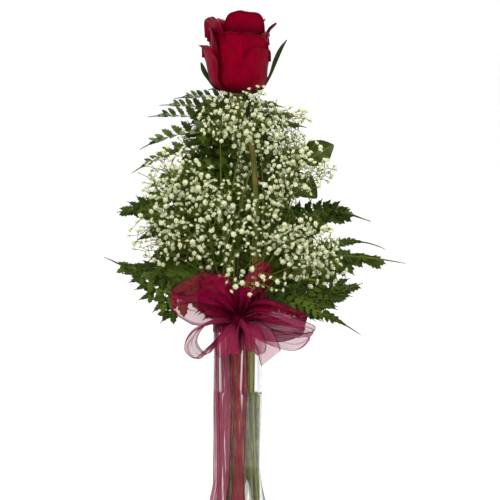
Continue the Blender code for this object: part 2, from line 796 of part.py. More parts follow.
BOW_LOOPS = [
    # points out from the knot, points back to it, the ribbon's width along its sides and at its tip
    ([(-14, -33, 248), (-34, -38, 252)], [(-52, -31, 246), (-38, -24, 239), (-16, -24, 237)],
     (3, -8, 32), (0, -24, 16)),
    ([(-17, -36, 228), (-33, -38, 222)], [(-40, -35, 208), (-31, -33, 200), (-20, -31, 210)],
     (8, 20, 4), (8, 20, 4)),
    ([(18, -37, 235), (40, -41, 229)], [(59, -34, 221), (41, -28, 216), (17, -27, 221)],
     (-3, -8, 19), (4, -22, 10)),
    ([(-3, -39, 236), (-5, -52, 228)], [(-2, -54, 214), (0, -43, 207), (1, -33, 216)],
     (28, 2, -3), (30, 0, 0)),
    ([(5, -36, 246), (12, -40, 259)], [(18, -37, 270), (18, -31, 259), (9, -26, 246)],
     (10, -8, -5), (8, -11, -3)),
]
BOW_END = [(10, -37, 222), (18, -43, 212), (28, -46, 202)]
BOW_END_WIDTH = (14, 6, 10)


def make_bow(material):
    shape = bmesh.new()
    bmesh.ops.create_icosphere(shape, subdivisions=1, radius=1.0)
    bmesh.ops.scale(shape, vec=(0.0080, 0.0065, 0.0085), verts=shape.verts[:])
    bmesh.ops.translate(shape, vec=KNOT, verts=shape.verts[:])
    pieces = [add_object("knot", shape)]
    for loop in BOW_LOOPS:
        pieces.append(bow_loop(*loop))
    end = curve_through([KNOT, *[mm(*point) for point in BOW_END]], 2)
    spread = [0.25 + 0.75 * min(1.0, 2 * index / (len(end) - 1)) for index in range(len(end))]
    widths = [mm(*BOW_END_WIDTH) / 2 * share for share in spread]
    pieces.append(add_object("short_end", band(end, widths, RIBBON)))
    return fuse("ribbon_bow", pieces, material, solver="MANIFOLD")


def tail(angle, bottom, width, off):
    """A tail that hangs from the tie and lies down the glass."""
    route = []
    widths = []
    around = radians(angle)
    out = Vector((cos(around), sin(around), 0.0))
    along = Vector((-sin(around), cos(around), 0.0))
    for z in heights(TIE_HEIGHT - 0.002, bottom, 8):
        distance = max(NECK_RADIUS, vase_radius(z)) + off
        route.append(out * distance + Vector((0, 0, z)))
        widths.append(along * width / 2)
    return add_object("tail", band(route, widths, RIBBON))


def make_tie(material):
    inner = NECK_RADIUS + GAP
    outer = inner + RIBBON
    low, high = TIE_HEIGHT - TIE_WIDTH / 2, TIE_HEIGHT + TIE_WIDTH / 2
    shape = bmesh.new()
    outline = [(inner, low), (outer, low), (outer, high), (inner, high)]
    corners = [shape.verts.new((radius, 0.0, z)) for radius, z in outline]
    edges = [shape.edges.new(pair) for pair in zip(corners, corners[1:] + corners[:1])]
    bmesh.ops.spin(shape, geom=corners + edges, cent=(0, 0, 0), axis=(0, 0, 1), angle=2 * pi,
                   steps=VASE_SIDES, use_merge=True)
    bmesh.ops.remove_doubles(shape, verts=shape.verts[:], dist=1e-6)
    pieces = [add_object("tie_band", shape)]
    pieces.append(tail(-122, 0.058, 0.013, 0.0010))
    pieces.append(tail(-97, 0.050, 0.012, 0.0010))
    return fuse("ribbon_tie", pieces, material)


def main():
    clear_scene()
    glass = finish("clear_glass", (0.95, 0.97, 0.96), 0.02, transmission=1.0)
    water_clear = finish("water_clear", (0.93, 0.97, 0.94), 0.0, transmission=1.0)
    crimson = finish("crimson_petal", (0.27, 0.0, 0.012), 0.55)
    stem_green = finish("stem_green", (0.09, 0.13, 0.03), 0.5)
    fern_green = finish("fern_green", (0.03, 0.07, 0.012), 0.5)
    cream = finish("floret_cream", (0.80, 0.84, 0.62), 0.7)
    organza = finish("organza_burgundy", (0.18, 0.005, 0.04), 0.4)

    neighbours = Neighbours()
    neighbours.add(make_vase(glass))
    rose_stem, rose_route = make_rose_stem(stem_green)
    neighbours.add(rose_stem)
    neighbours.add(make_bloom(crimson))
    neighbours.add(make_bow(organza))
    neighbours.add(make_tie(organza))

    stems = [([point for point in rose_route if point.z < NECK_HEIGHT + 0.03], ROSE_STEM_RADIUS)]
    for holder in [*FRONDS.values(), *SPRAYS.values()]:
        stems.append((holder.route[:2], STEM_RADIUS))
        neighbours.add_shape(sweep(holder.route, [STEM_RADIUS] * len(holder.route), STEM_SIDES))
    own_stems = neighbours.trees[-len(stems) + 1:]
    for index, (name, frond) in enumerate(FRONDS.items()):
        neighbours.trees.remove(own_stems[index])
        neighbours.add(make_frond(name, frond, neighbours, fern_green))
    for index, (name, spray) in enumerate(SPRAYS.items()):
        neighbours.trees.remove(own_stems[len(FRONDS) + index])
        neighbours.add(make_spray(name, spray, neighbours, cream))
    make_water(stems, water_clear)


main()
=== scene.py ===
"""Dresses a rose in a glass bud vase: petals, fern, baby's breath, water and an organza bow.

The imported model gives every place. Lengths are in metres, +Z is up, and the front looks along -Y.
Run it with Blender, or from Blender's text editor.
"""

import random
from functools import partial, reduce
from math import atan2, cos, exp, pi, radians, sin, sqrt
from typing import NamedTuple

import bmesh
import bpy
from bpy.props import FloatProperty, FloatVectorProperty, IntProperty, PointerProperty
from mathutils import Matrix, Vector, noise
from mathutils.bvhtree import BVHTree


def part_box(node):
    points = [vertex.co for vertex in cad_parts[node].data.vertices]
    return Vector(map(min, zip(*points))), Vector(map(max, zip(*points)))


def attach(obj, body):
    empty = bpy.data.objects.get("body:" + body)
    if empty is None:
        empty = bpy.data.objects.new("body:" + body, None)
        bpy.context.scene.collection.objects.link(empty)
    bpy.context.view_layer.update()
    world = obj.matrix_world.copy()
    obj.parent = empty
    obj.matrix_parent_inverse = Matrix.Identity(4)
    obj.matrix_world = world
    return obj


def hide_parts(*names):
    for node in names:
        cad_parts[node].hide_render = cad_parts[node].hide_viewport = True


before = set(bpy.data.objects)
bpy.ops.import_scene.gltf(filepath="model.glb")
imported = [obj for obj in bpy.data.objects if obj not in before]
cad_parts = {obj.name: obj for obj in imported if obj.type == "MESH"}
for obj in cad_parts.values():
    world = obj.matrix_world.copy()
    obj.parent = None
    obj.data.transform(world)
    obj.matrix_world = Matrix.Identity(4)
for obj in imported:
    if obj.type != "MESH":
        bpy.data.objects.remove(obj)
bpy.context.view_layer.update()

bl_info = {
    "name": "Rose in a Bud Vase",
    "version": (1, 0, 0),
    "blender": (4, 5, 0),
    "location": "3D View > Sidebar > Rose",
    "description": "Builds a rose in a glass bud vase with fern, baby's breath and an organza bow",
    "category": "Add Mesh",
}

# Vase, repeated from the solid model
FOOT_RADIUS = 0.0270
BELLY_RADIUS = 0.0340
BELLY_HEIGHT = 0.0280
WAIST_RADIUS = 0.0179
WAIST_HEIGHT = 0.1160
NECK_RADIUS = 0.0192
NECK_HEIGHT = 0.1700
LIP_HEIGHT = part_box("vase")[1].z
GLASS = 0.0028
VASE_FLOOR = 0.0090
VASE_FLOOR_RADIUS = 0.0200
WATER_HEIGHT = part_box("water")[1].z

# Stems that stand in it
GAP = 0.0003
STEM_RING = 0.0136
STEM_RADIUS = 0.0012
STEM_TWIST = radians(60)
STEM_FOOT = VASE_FLOOR + GAP

# Rose
BLOOM_BASE = Vector((-0.0010, 0.0000, 0.4115))
BLOOM_LEAN = radians(3.5)
BLOOM_PLACE = Matrix.Translation(BLOOM_BASE) @ Matrix.Rotation(BLOOM_LEAN, 4, "Y")

# Ribbon
TIE_HEIGHT = 0.2250
TIE_WIDTH = 0.0100
TIE_RADIUS = NECK_RADIUS + GAP + 0.0005
KNOT = Vector((0.0012, -0.0263, 0.2300))


# Small tools


def mm(x, y, z):
    """A point or size given in millimetres."""
    return Vector((x, y, z)) * 0.001


def all_mm(points):
    """Points or sizes given in millimetres."""
    return [mm(*point) for point in points]


def round_axis(radius, angle, z):
    """The point at a radius, an angle about Z and a height."""
    return Vector((radius * cos(angle), radius * sin(angle), z))


def mean(points):
    """The middle of some points."""
    return sum(points, Vector()) / len(points)


def curve_through(points, steps):
    """Points along a smooth curve through the given ones."""
    ends = [2 * points[0] - points[1], *points, 2 * points[-1] - points[-2]]
    curve = []
    for a, b, c, d in zip(ends, ends[1:], ends[2:], ends[3:]):
        for step in range(steps):
            t = step / steps
            bend = (2 * a - 5 * b + 4 * c - d) * t * t + (3 * b - a - 3 * c + d) * t ** 3
            curve.append(0.5 * (2 * b + (c - a) * t + bend))
    curve.append(points[-1].copy())
    return curve


def point_on(curve, t):
    """The point a share t of the way along a curve, and the curve's direction there."""
    place = min(max(t, 0.0), 1.0) * (len(curve) - 1)
    index = min(int(place), len(curve) - 2)
    step = curve[index + 1] - curve[index]
    return curve[index] + step * (place - index), step.normalized()


def between(low, high, value):
    """How far a value is from low to high, from 0 to 1, with soft ends."""
    t = min(max((value - low) / (high - low), 0.0), 1.0)
    return t * t * (3 - 2 * t)


def mapped_grid(columns, rows, place):
    """A sheet of quads whose corners lie where place(u, v) puts them.

    Across the sheet u goes from -1 to 1, and along it v goes from 0 to 1.
    """
    shape = bmesh.new()
    shape.loops.layers.uv.new("UVMap")
    bmesh.ops.create_grid(shape, x_segments=columns, y_segments=rows, size=0.5, calc_uvs=True)
    for vertex in shape.verts:
        vertex.co = place(2 * (vertex.co.x + 0.5) - 1, vertex.co.y + 0.5)
    return shape


def thicken(shape, thickness):
    """Turn a sheet into a closed blade with its middle where the sheet was."""
    bmesh.ops.recalc_face_normals(shape, faces=shape.faces[:])
    shape.normal_update()
    lower = shape.verts[:]
    offsets = [vertex.normal * thickness / 2 for vertex in lower]
    made = bmesh.ops.extrude_face_region(shape, geom=shape.faces[:], use_keep_orig=True)
    upper = [item for item in made["geom"] if isinstance(item, bmesh.types.BMVert)]
    for vertex in upper:
        vertex.co += vertex.normal * thickness / 2
    for vertex, offset in zip(lower, offsets):
        vertex.co -= offset
    bmesh.ops.recalc_face_normals(shape, faces=shape.faces[:])
    return shape


def turned(outline, steps):
    """A solid turned about Z from an outline of (radius, height) that starts and ends on the axis."""
    shape = bmesh.new()
    corners = [shape.verts.new((radius, 0.0, z)) for radius, z in outline]
    edges = [shape.edges.new(pair) for pair in zip(corners, corners[1:])]
    bmesh.ops.spin(shape, geom=corners + edges, cent=(0, 0, 0), axis=(0, 0, 1),
                   angle=2 * pi, steps=steps, use_merge=True)
    bmesh.ops.remove_doubles(shape, verts=shape.verts[:], dist=1e-6)
    bmesh.ops.recalc_face_normals(shape, faces=shape.faces[:])
    return shape


def as_mesh(name, shape):
    """Keep a bmesh as a mesh, and free it."""
    mesh = bpy.data.meshes.new(name)
    shape.to_mesh(mesh)
    shape.free()
    return mesh


class Heap:
    """Many small shapes gathered in one mesh, each with its own values in the mesh's attributes."""

    def __init__(self, *attributes):
        self.shape = bmesh.new()
        self.shape.loops.layers.uv.new("UVMap")
        for name in attributes:
            self.shape.verts.layers.float.new(name)

    def add(self, mesh, matrix=None, **values):
        """Add a copy of a mesh. The mesh itself stays as it is."""
        copy = mesh.copy()
        if matrix is not None:
            copy.transform(matrix)
        for name, value in values.items():
            attribute = copy.attributes.get(name) or copy.attributes.new(name, "FLOAT", "POINT")
            attribute.data.foreach_set("value", [value] * len(copy.vertices))
        self.shape.from_mesh(copy)
        bpy.data.meshes.remove(copy)

    def take(self, shape, **values):
        """Add a bmesh, and free it."""
        mesh = as_mesh("part", shape)
        self.add(mesh, **values)
        bpy.data.meshes.remove(mesh)


def stalk(points, radius):
    """A route for tubes, with its radius as a function of the share of the way along."""
    return points, [radius(index / (len(points) - 1)) for index in range(len(points))]


def tubes(routes, corners=0):
    """Closed round stalks along routes of (points, radii), as one mesh."""
    line = bpy.data.curves.new("stalks", "CURVE")
    line.dimensions = "3D"
    line.bevel_depth = 1.0
    line.bevel_resolution = corners
    line.use_fill_caps = True
    for points, radii in routes:
        spline = line.splines.new("POLY")
        spline.points.add(len(points) - 1)
        for knot, point, radius in zip(spline.points, points, radii):
            knot.co = (*point, 1.0)
            knot.radius = radius
    holder = bpy.data.objects.new("stalks", line)
    bpy.context.scene.collection.objects.link(holder)
    seen = bpy.context.evaluated_depsgraph_get()
    mesh = bpy.data.meshes.new_from_object(holder.evaluated_get(seen))
    bpy.data.objects.remove(holder)
    bpy.data.curves.remove(line)
    shape = bmesh.new()
    shape.from_mesh(mesh)
    bpy.data.meshes.remove(mesh)
    bmesh.ops.remove_doubles(shape, verts=shape.verts[:], dist=2e-6)
    bmesh.ops.recalc_face_normals(shape, faces=shape.faces[:])
    return shape


def add_piece(name, shape, material, node):
    """Put a finished shape in the scene under the root, and hide the solid node that it stands for."""
    mesh = as_mesh(name, shape)
    mesh.materials.clear()
    mesh.materials.append(material)
    mesh.shade_smooth()
    piece = bpy.data.objects.new(name, mesh)
    bpy.context.scene.collection.objects.link(piece)
    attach(piece, "root")
    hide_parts(node)
    return piece


# Materials


class Nodes:
    """A node tree in the making. Its inputs are fed with sockets, numbers or plain colours."""

    def __init__(self, tree):
        self.tree = tree

    def feed(self, node, feeds):
        for name, value in feeds.items():
            socket = node.inputs[name]
            if isinstance(value, bpy.types.NodeSocket):
                self.tree.links.new(value, socket)
            else:
                socket.default_value = (*value[:3], 1.0) if socket.type == "RGBA" else value

    def add(self, kind, feeds=None, **settings):
        """Add a node, and give its outputs."""
        node = self.tree.nodes.new("ShaderNode" + kind)
        for name, value in settings.items():
            setattr(node, name, value)
        self.feed(node, feeds or {})
        return node.outputs

    def mix(self, factor, first, second):
        """A colour between two."""
        return self.add("Mix", {"Factor": factor, 6: first, 7: second}, data_type="RGBA")[2]

    def ramp(self, value, low, high, first=0.0, last=1.0):
        """A value read from low to high and given out from first to last."""
        feeds = {"Value": value, "From Min": low, "From Max": high, "To Min": first, "To Max": last}
        return self.add("MapRange", feeds, interpolation_type="SMOOTHSTEP")["Result"]

    def math(self, operation, *values):
        return self.add("Math", dict(enumerate(values)), operation=operation)[0]

    def times(self, *values):
        return reduce(partial(self.math, "MULTIPLY"), values)

    def most(self, *values):
        return reduce(partial(self.math, "MAXIMUM"), values)


def mottle(nodes, given):
    """Two colours that drift into each other over the surface."""
    cloud = nodes.add("TexNoise", {"Vector": given["Vector"], "Scale": given["Scale"],
                                   "Detail": 4.0, "Roughness": 0.6})
    mask = nodes.ramp(cloud["Fac"], given["Low"], given["High"])
    return {"Color": nodes.mix(mask, given["First"], given["Second"]), "Mask": mask}


def fibres(nodes, given):
    """Fine wavering lines that run along the second coordinate."""
    stretch = nodes.add("CombineXYZ", {"X": given["Lines"], "Y": given["Run"], "Z": given["Lines"]})
    scaled = nodes.add("VectorMath", {0: given["Vector"], 1: stretch[0]}, operation="MULTIPLY")
    cloud = nodes.add("TexNoise", {"Vector": scaled[0], "Scale": 1.0, "Detail": 2.0, "Roughness": 0.5})
    return {"Height": cloud["Fac"]}


GROUP_SOCKETS = {
    # what fills the group: the kind and name of each input, then of each output
    mottle: ({"Vector": "Vector", "Scale": "Float", "First": "Color", "Second": "Color", "Low": "Float",
              "High": "Float"}, {"Color": "Color", "Mask": "Float"}),
    fibres: ({"Vector": "Vector", "Lines": "Float", "Run": "Float"}, {"Height": "Float"}),
}


def shared_group(fill):
    """The node group that a function fills, made once for all the materials."""
    name = fill.__name__.title()
    if name in bpy.data.node_groups:
        return bpy.data.node_groups[name]
    tree = bpy.data.node_groups.new(name, "ShaderNodeTree")
    for way, sockets in zip(("INPUT", "OUTPUT"), GROUP_SOCKETS[fill]):
        for label, kind in sockets.items():
            tree.interface.new_socket(label, in_out=way, socket_type="NodeSocket" + kind)
    given = tree.nodes.new("NodeGroupInput").outputs
    nodes = Nodes(tree)
    nodes.feed(tree.nodes.new("NodeGroupOutput"), fill(nodes, given))
    return tree


class Look(Nodes):
    """A material in the making, with what its shader is driven by."""

    def __init__(self, name):
        self.material = bpy.data.materials.new(name)
        self.material.use_nodes = True
        super().__init__(self.material.node_tree)
        self.shader = self.tree.nodes["Principled BSDF"]
        places = self.add("TexCoord")
        self.place = places["Object"]
        self.sheet = places["UV"]

    def axis(self, place, letter):
        """One coordinate of a place."""
        return self.add("SeparateXYZ", {0: place})[letter]

    def across(self):
        """How far it is from the middle of the sheet to either side, from 0 to 1."""
        off = self.math("ABSOLUTE", self.math("SUBTRACT", self.axis(self.sheet, "X"), 0.5))
        return self.times(off, 2.0)

    def attribute(self, name):
        """A value that each point of the shape carries."""
        return self.add("Attribute", attribute_name=name)["Fac"]

    def edge_on(self, blend, low, high, last=1.0):
        """How far the surface is turned away from the eye, read from low to high."""
        return self.ramp(self.add("LayerWeight", {"Blend": blend})["Facing"], low, high, 0.0, last)

    def drift(self, scale, first, second, low=0.35, high=0.65):
        """Two colours that drift into each other, and how far it is the second."""
        feeds = {"Vector": self.place, "Scale": scale, "First": first, "Second": second,
                 "Low": low, "High": high}
        made = self.add("Group", feeds, node_tree=shared_group(mottle))
        return made["Color"], made["Mask"]

    def fibres(self, place, lines, run):
        """The height of fine lines, for a place that is counted across and along."""
        feeds = {"Vector": place, "Lines": lines, "Run": run}
        return self.add("Group", feeds, node_tree=shared_group(fibres))["Height"]

    def bump(self, height, strength, distance):
        return self.add("Bump", {"Height": height, "Strength": strength, "Distance": distance})["Normal"]

    def shade(self, **feeds):
        """Feed the shader, whose inputs' names have _ for a space, and give the material."""
        self.feed(self.shader, {name.replace("_", " "): value for name, value in feeds.items()})
        return self.material


# share of the light that passes straight through glass and water
STRAIGHT_LIGHT = 0.92


def clear_material(name, colour, edge_colour, refraction, smudge):
    """Glass or water: clear, with painted shade where it is seen edge-on. A smudge makes its gloss drift.

    Part of the light passes straight through, so that what stands in it isn't in the dark.
    """
    look = Look(name)
    drifting, mask = look.drift(35.0, colour, [channel * 0.985 for channel in colour])
    # painted shade: the colour turns to edge_colour where the surface is seen edge-on
    look.shade(Base_Color=look.mix(look.edge_on(0.5, 0.55, 1.0), drifting, edge_colour),
               Roughness=look.ramp(mask, 0.0, 1.0, 0.0, smudge) if smudge else 0.0,
               Transmission_Weight=1.0, IOR=refraction, Specular_IOR_Level=0.25)
    straight = look.add("BsdfTransparent", {"Color": [STRAIGHT_LIGHT] * 3})
    shadow = look.add("LightPath")["Is Shadow Ray"]
    both = look.add("MixShader", {0: shadow, 1: look.shader.outputs[0], 2: straight[0]})
    look.feed(look.tree.nodes["Material Output"], {"Surface": both[0]})
    return look.material


def petal_material(settings):
    """Velvet petal: crimson that deepens to a dark rim, with fine veins that fan from the base."""
    look = Look("crimson velvet petal")
    colour, mask = look.drift(70.0, settings.petal_colour, settings.petal_shade, 0.40, 0.75)
    veins = look.fibres(look.sheet, 46.0, 2.2)
    up = look.axis(look.sheet, "Y")
    toned = look.mix(look.ramp(look.attribute("tone"), 0.0, 1.0, 0.0, 0.55), colour, settings.petal_shade)
    veined = look.mix(look.ramp(veins, 0.50, 0.80, 0.0, 0.30), toned, settings.petal_light)
    rim = look.most(look.ramp(look.across(), 0.92, 1.0), look.ramp(up, 0.93, 1.0))
    foot = look.ramp(up, 0.04, 0.20, 0.55, 0.0)
    # painted shade: the lower part of each inner petal is darkened, as if the petals round it shaded it
    painted_inner_shade = look.times(look.attribute("inside"), look.ramp(up, 0.70, 0.93, 0.85, 0.0))
    # painted shade: velvet darkens the petal where it is seen edge-on
    velvet = look.edge_on(0.35, 0.25, 0.85, 0.75)
    # dark joins the real dark rim and dry tip with painted shade edge-on and low on the inner petals, and
    # with the darkening towards each petal's foot
    dark = look.most(velvet, look.times(rim, 0.45), foot, painted_inner_shade, look.attribute("dry"))
    return look.shade(
        Base_Color=look.mix(dark, veined, settings.rim_colour),
        Roughness=look.ramp(mask, 0.0, 1.0, 0.52, 0.64),
        Specular_IOR_Level=0.12, Specular_Tint=(1.0, 0.02, 0.16), Sheen_Weight=0.12, Sheen_Roughness=0.45,
        Sheen_Tint=(1.0, 0.0, 0.22), Normal=look.bump(veins, 0.25, 0.0003))


def stem_material(settings):
    """Smooth green stem that drifts to tan, with fine fibres along it."""
    look = Look("olive rose stem")
    colour = look.drift(45.0, settings.stem_colour, settings.stem_tan, 0.35, 0.70)[0]
    upright = look.add("Mapping", {"Vector": look.place, "Rotation": (radians(90), 0.0, 0.0)})
    streaks = look.fibres(upright[0], 1500.0, 60.0)
    return look.shade(
        Base_Color=look.mix(look.ramp(streaks, 0.45, 0.75, 0.0, 0.5), colour, settings.stem_dark),
        Roughness=look.ramp(streaks, 0.3, 0.7, 0.36, 0.50), Specular_IOR_Level=0.20,
        Specular_Tint=(1.0, 0.95, 0.55), Normal=look.bump(streaks, 0.35, 0.0002))


def leaf_material(name, dark, light, rib, stalk, roughness):
    """Leaf: two greens by leaf and over each leaf, with a paler midrib and slanting veins.

    Down in the vase the stalk is painted paler and yellower, as light, than among the leaves.
    """
    look = Look(name)
    tone, leaf = look.attribute("tone"), look.attribute("leaf")
    drifting, mask = look.drift(160.0, dark, light)
    shaded = look.mix(look.ramp(tone, 0.0, 0.6, 0.95, 0.0), look.mix(tone, drifting, light), dark)
    across = look.across()
    slant = look.math("SUBTRACT", look.times(look.axis(look.sheet, "Y"), 9.0), look.times(across, 2.6))
    veins = look.math("ABSOLUTE", look.math("SINE", look.times(slant, pi)))
    marks = look.most(look.ramp(veins, 0.0, 0.35, 0.5, 0.0), look.ramp(across, 0.04, 0.16, 0.9, 0.0))
    marked = look.mix(look.times(marks, leaf, look.ramp(tone, 0.0, 0.35, 0.12, 0.60)), shaded, rib)
    # painted light: low down, in the vase, the stalks take the paler stalk colour; higher up, the midrib
    # colour
    stalk_painted_light = look.mix(look.ramp(look.axis(look.place, "Z"), 0.220, 0.260), stalk, rib)
    return look.shade(
        Base_Color=look.mix(leaf, stalk_painted_light, marked),
        Roughness=look.ramp(mask, 0.0, 1.0, roughness, roughness + 0.12),
        Specular_IOR_Level=0.16, Specular_Tint=(0.75, 1.0, 0.45), Normal=look.bump(marks, 0.35, -0.0003))


def floret_material(settings):
    """Cream petals with a faint green heart, on green stalks with painted shade up among the leaves."""
    look = Look("cream floret")
    cream, mask = look.drift(420.0, settings.petal_colour, settings.petal_shade, 0.42, 0.85)
    green = look.drift(90.0, settings.stalk_colour, settings.stalk_dark_and_shade)[0]
    # painted shade: higher up, among the leaves, the stalks darken towards the dark stalk colour
    painted_shade_among_leaves = look.ramp(look.axis(look.place, "Z"), 0.230, 0.290, 0.0, 0.90)
    petal = look.attribute("petal")
    return look.shade(
        Base_Color=look.mix(petal, look.mix(painted_shade_among_leaves, green, settings.stalk_dark_and_shade), cream),
        Roughness=look.ramp(petal, 0.0, 1.0, 0.45, 0.70), Specular_IOR_Level=0.12,
        Specular_Tint=(1.0, 1.0, 0.75), Normal=look.bump(mask, 0.25, 0.0002))


def organza_material(settings):
    """Sheer woven ribbon: fine threads both ways, a firm dark edge, denser where gathered, with painted shade
    and sheen.
    """
    look = Look("burgundy organza")
    weave = look.most(*[
        look.ramp(look.math("SINE", look.times(look.axis(look.sheet, axis), 2 * pi * count)), -1.0, 1.0)
        for axis, count in (("X", settings.threads), ("Y", settings.threads * 3.0))])
    edge = look.ramp(look.across(), 0.90, 0.94)
    colour = look.drift(120.0, settings.colour, settings.light)[0]
    gathered = look.attribute("gathered")
    # painted light: where pale is set, the colour turns to a milky sheen
    painted_sheen = look.mix(look.attribute("pale"), colour, settings.painted_sheen_colour)
    # painted shade: where it is gathered the colour turns darker
    painted_gather_shade = look.mix(gathered, painted_sheen, settings.gathered_shade_colour)
    cover = look.math("ADD", look.ramp(gathered, 0.0, 1.0, settings.sheerness, 0.80),
                      look.edge_on(0.5, 0.25, 0.95, 0.30))
    woven = look.times(cover, look.ramp(weave, 0.0, 1.0, 0.92, 1.05))
    return look.shade(
        Base_Color=look.mix(look.times(edge, 0.90), painted_gather_shade, settings.edge_colour),
        Alpha=look.most(woven, look.times(edge, 0.80)), Roughness=look.ramp(weave, 0.0, 1.0, 0.50, 0.34),
        Specular_IOR_Level=0.07, Specular_Tint=(1.0, 0.3, 0.5), Sheen_Weight=0.06, Sheen_Roughness=0.35,
        Sheen_Tint=(1.0, 0.20, 0.40), Normal=look.bump(weave, 0.04, 0.0001))


def floor_material(colour):
    """Matt white, with the faintest drift."""
    look = Look("matt white floor")
    drifting = look.drift(3.0, colour, [channel * 0.99 for channel in colour])[0]
    return look.shade(Base_Color=drifting, Roughness=0.9, Specular_IOR_Level=0.1)


# The vase and its water


# the ring that the vase stands on: how far in from the foot's edge, and the height
FOOT_RING = [(0.006, 0.0006), (0.004, 0.0), (0.001, 0.0)]
LIP_STEPS = 12
WATER_STEPS = 8


def ease(start, end, t):
    """From start to end along half a wave, level at both ends."""
    return start + (end - start) * (1 - cos(pi * t)) / 2


def quarter_round(start, end, t):
    """From start to end along a quarter of a circle, level at the end."""
    return start + (end - start) * sqrt(max(0.0, 1 - (1 - t) ** 2))


def vase_radius(z):
    """Outer radius of the glass at a height."""
    if z < BELLY_HEIGHT:
        return quarter_round(FOOT_RADIUS, BELLY_RADIUS, z / BELLY_HEIGHT)
    if z < WAIST_HEIGHT:
        return ease(BELLY_RADIUS, WAIST_RADIUS, (z - BELLY_HEIGHT) / (WAIST_HEIGHT - BELLY_HEIGHT))
    if z < NECK_HEIGHT:
        return ease(WAIST_RADIUS, NECK_RADIUS, (z - WAIST_HEIGHT) / (NECK_HEIGHT - WAIST_HEIGHT))
    return NECK_RADIUS


def bore_radius(z):
    """Inner radius of the glass at a height above the vase's floor."""
    if z < BELLY_HEIGHT:
        rise = (z - VASE_FLOOR) / (BELLY_HEIGHT - VASE_FLOOR)
        return quarter_round(VASE_FLOOR_RADIUS, BELLY_RADIUS - GLASS, rise)
    return vase_radius(z) - GLASS


def levels(low, high, steps):
    """Even steps from low to high, with both ends."""
    return [low + (high - low) * step / steps for step in range(steps + 1)]


def make_vase(settings):
    """The glass, with a slightly hollow underside and a round lip."""
    hollow = FOOT_RING[0][1]
    lip = GLASS / 2
    rim = NECK_RADIUS - lip
    outline = [(0.0, hollow), *[(FOOT_RADIUS - inset, z) for inset, z in FOOT_RING]]
    outline += [(vase_radius(z), z) for z in levels(0.0008, LIP_HEIGHT - lip, settings.rows)]
    for turn in levels(0.0, pi, LIP_STEPS)[1:-1]:
        outline.append((rim + lip * cos(turn), LIP_HEIGHT - lip + lip * sin(turn)))
    outline += [(bore_radius(z), z) for z in reversed(levels(VASE_FLOOR, LIP_HEIGHT - lip, settings.rows))]
    outline.append((0.0, VASE_FLOOR))
    material = clear_material("clear glass", settings.glass_tint, settings.glass_edge_shade, 1.50, 0.02)
    add_piece("bud_vase_glass", turned(outline, settings.sides), material, "vase")


def make_water(settings):
    """Water against the glass, with its surface drawn up a little at the wall."""
    seat = 0.00005
    rise = 0.0012
    outline = [(0.0, VASE_FLOOR - seat)]
    outline += [(bore_radius(z) + seat, z) for z in levels(VASE_FLOOR, WATER_HEIGHT, settings.rows)]
    wall = bore_radius(WATER_HEIGHT)
    for inward in levels(0.0, wall, WATER_STEPS)[1:]:
        outline.append((wall - inward, WATER_HEIGHT - rise * (1 - exp(-inward / rise))))
    material = clear_material("still water", settings.water_tint, settings.water_tint, 1.33, 0.0)
    add_piece("vase_water", turned(outline, settings.sides), material, "water")


# Stems in the vase


def stem_route(slot, above, steps, ring=STEM_RING):
    """A stem's whole route: straight in the vase, then a smooth curve through the points above."""
    angle = radians(slot)
    foot = round_axis(ring, angle + STEM_TWIST, STEM_FOOT)
    lip = round_axis(ring, angle, LIP_HEIGHT)
    rise = (lip - foot).normalized() * (above[0] - lip).length
    curve = curve_through([lip - rise, lip, *above], steps)
    return [foot, *curve[steps:]]


# Rose bloom


class Petal(NamedTuple):
    """How a petal stands: its place round the bloom, half its spread, its size, and how its rim bends."""

    azimuth: float
    spread: float
    radius: float
    height: float
    lean: float = 0.0
    roll: float = 0.002
    point: float = 0.0
    twist: float = 0.0012


PETALS = [
    Petal(-91, 80, 0.0214, 0.0468, 0.0000, 0.0012),
    Petal(-6, 54, 0.0219, 0.0500, -0.0004, 0.0008),
    Petal(-40, 46, 0.0225, 0.0365, -0.0002, 0.0006),
    Petal(62, 50, 0.0218, 0.0540, 0.0000, 0.0035),
    Petal(126, 54, 0.0222, 0.0545, 0.0000, 0.0025),
    Petal(177, 52, 0.0226, 0.0510, 0.0002, 0.0016),
    Petal(-164, 46, 0.0194, 0.0594, 0.0014, 0.0080, 0.0, -0.0012),
    Petal(-160, 36, 0.0238, 0.0362, 0.0054, 0.0008, 0.0036),
    Petal(-79, 73, 0.0180, 0.0648, -0.0010, 0.0008),
    Petal(4, 50, 0.0170, 0.0612, -0.0005, 0.0020),
    Petal(78, 56, 0.0168, 0.0620, -0.0010, 0.0025),
    Petal(150, 56, 0.0168, 0.0605, -0.0010, 0.0025),
    Petal(20, 85, 0.0108, 0.0610, -0.0020, 0.0015),
    Petal(140, 85, 0.0108, 0.0600, -0.0020, 0.0015),
    Petal(-100, 85, 0.0108, 0.0625, -0.0020, 0.0010),
]
HEART_PETALS = 8
# petals with less than this radius get painted shade on their lower part, as if shaded by the others
INNER_PETALS = 0.0205
CUP = [(0.0, 0.0), (0.004975, 0.0002), (0.00995, 0.0014), (0.0144275, 0.0036), (0.017711, 0.0066),
       (0.019104, 0.0100), (0.016915, 0.0130), (0.00995, 0.0150), (0.0, 0.0155)]
CURLED_TIP = [(20.8, 36), (21.2, 42), (21.6, 47), (23.2, 51.5), (26.0, 54.8), (28.4, 57.0)]
CURLED_TIP_WIDTHS = [0.0008, 0.0034, 0.0042, 0.0042, 0.0038, 0.0014]


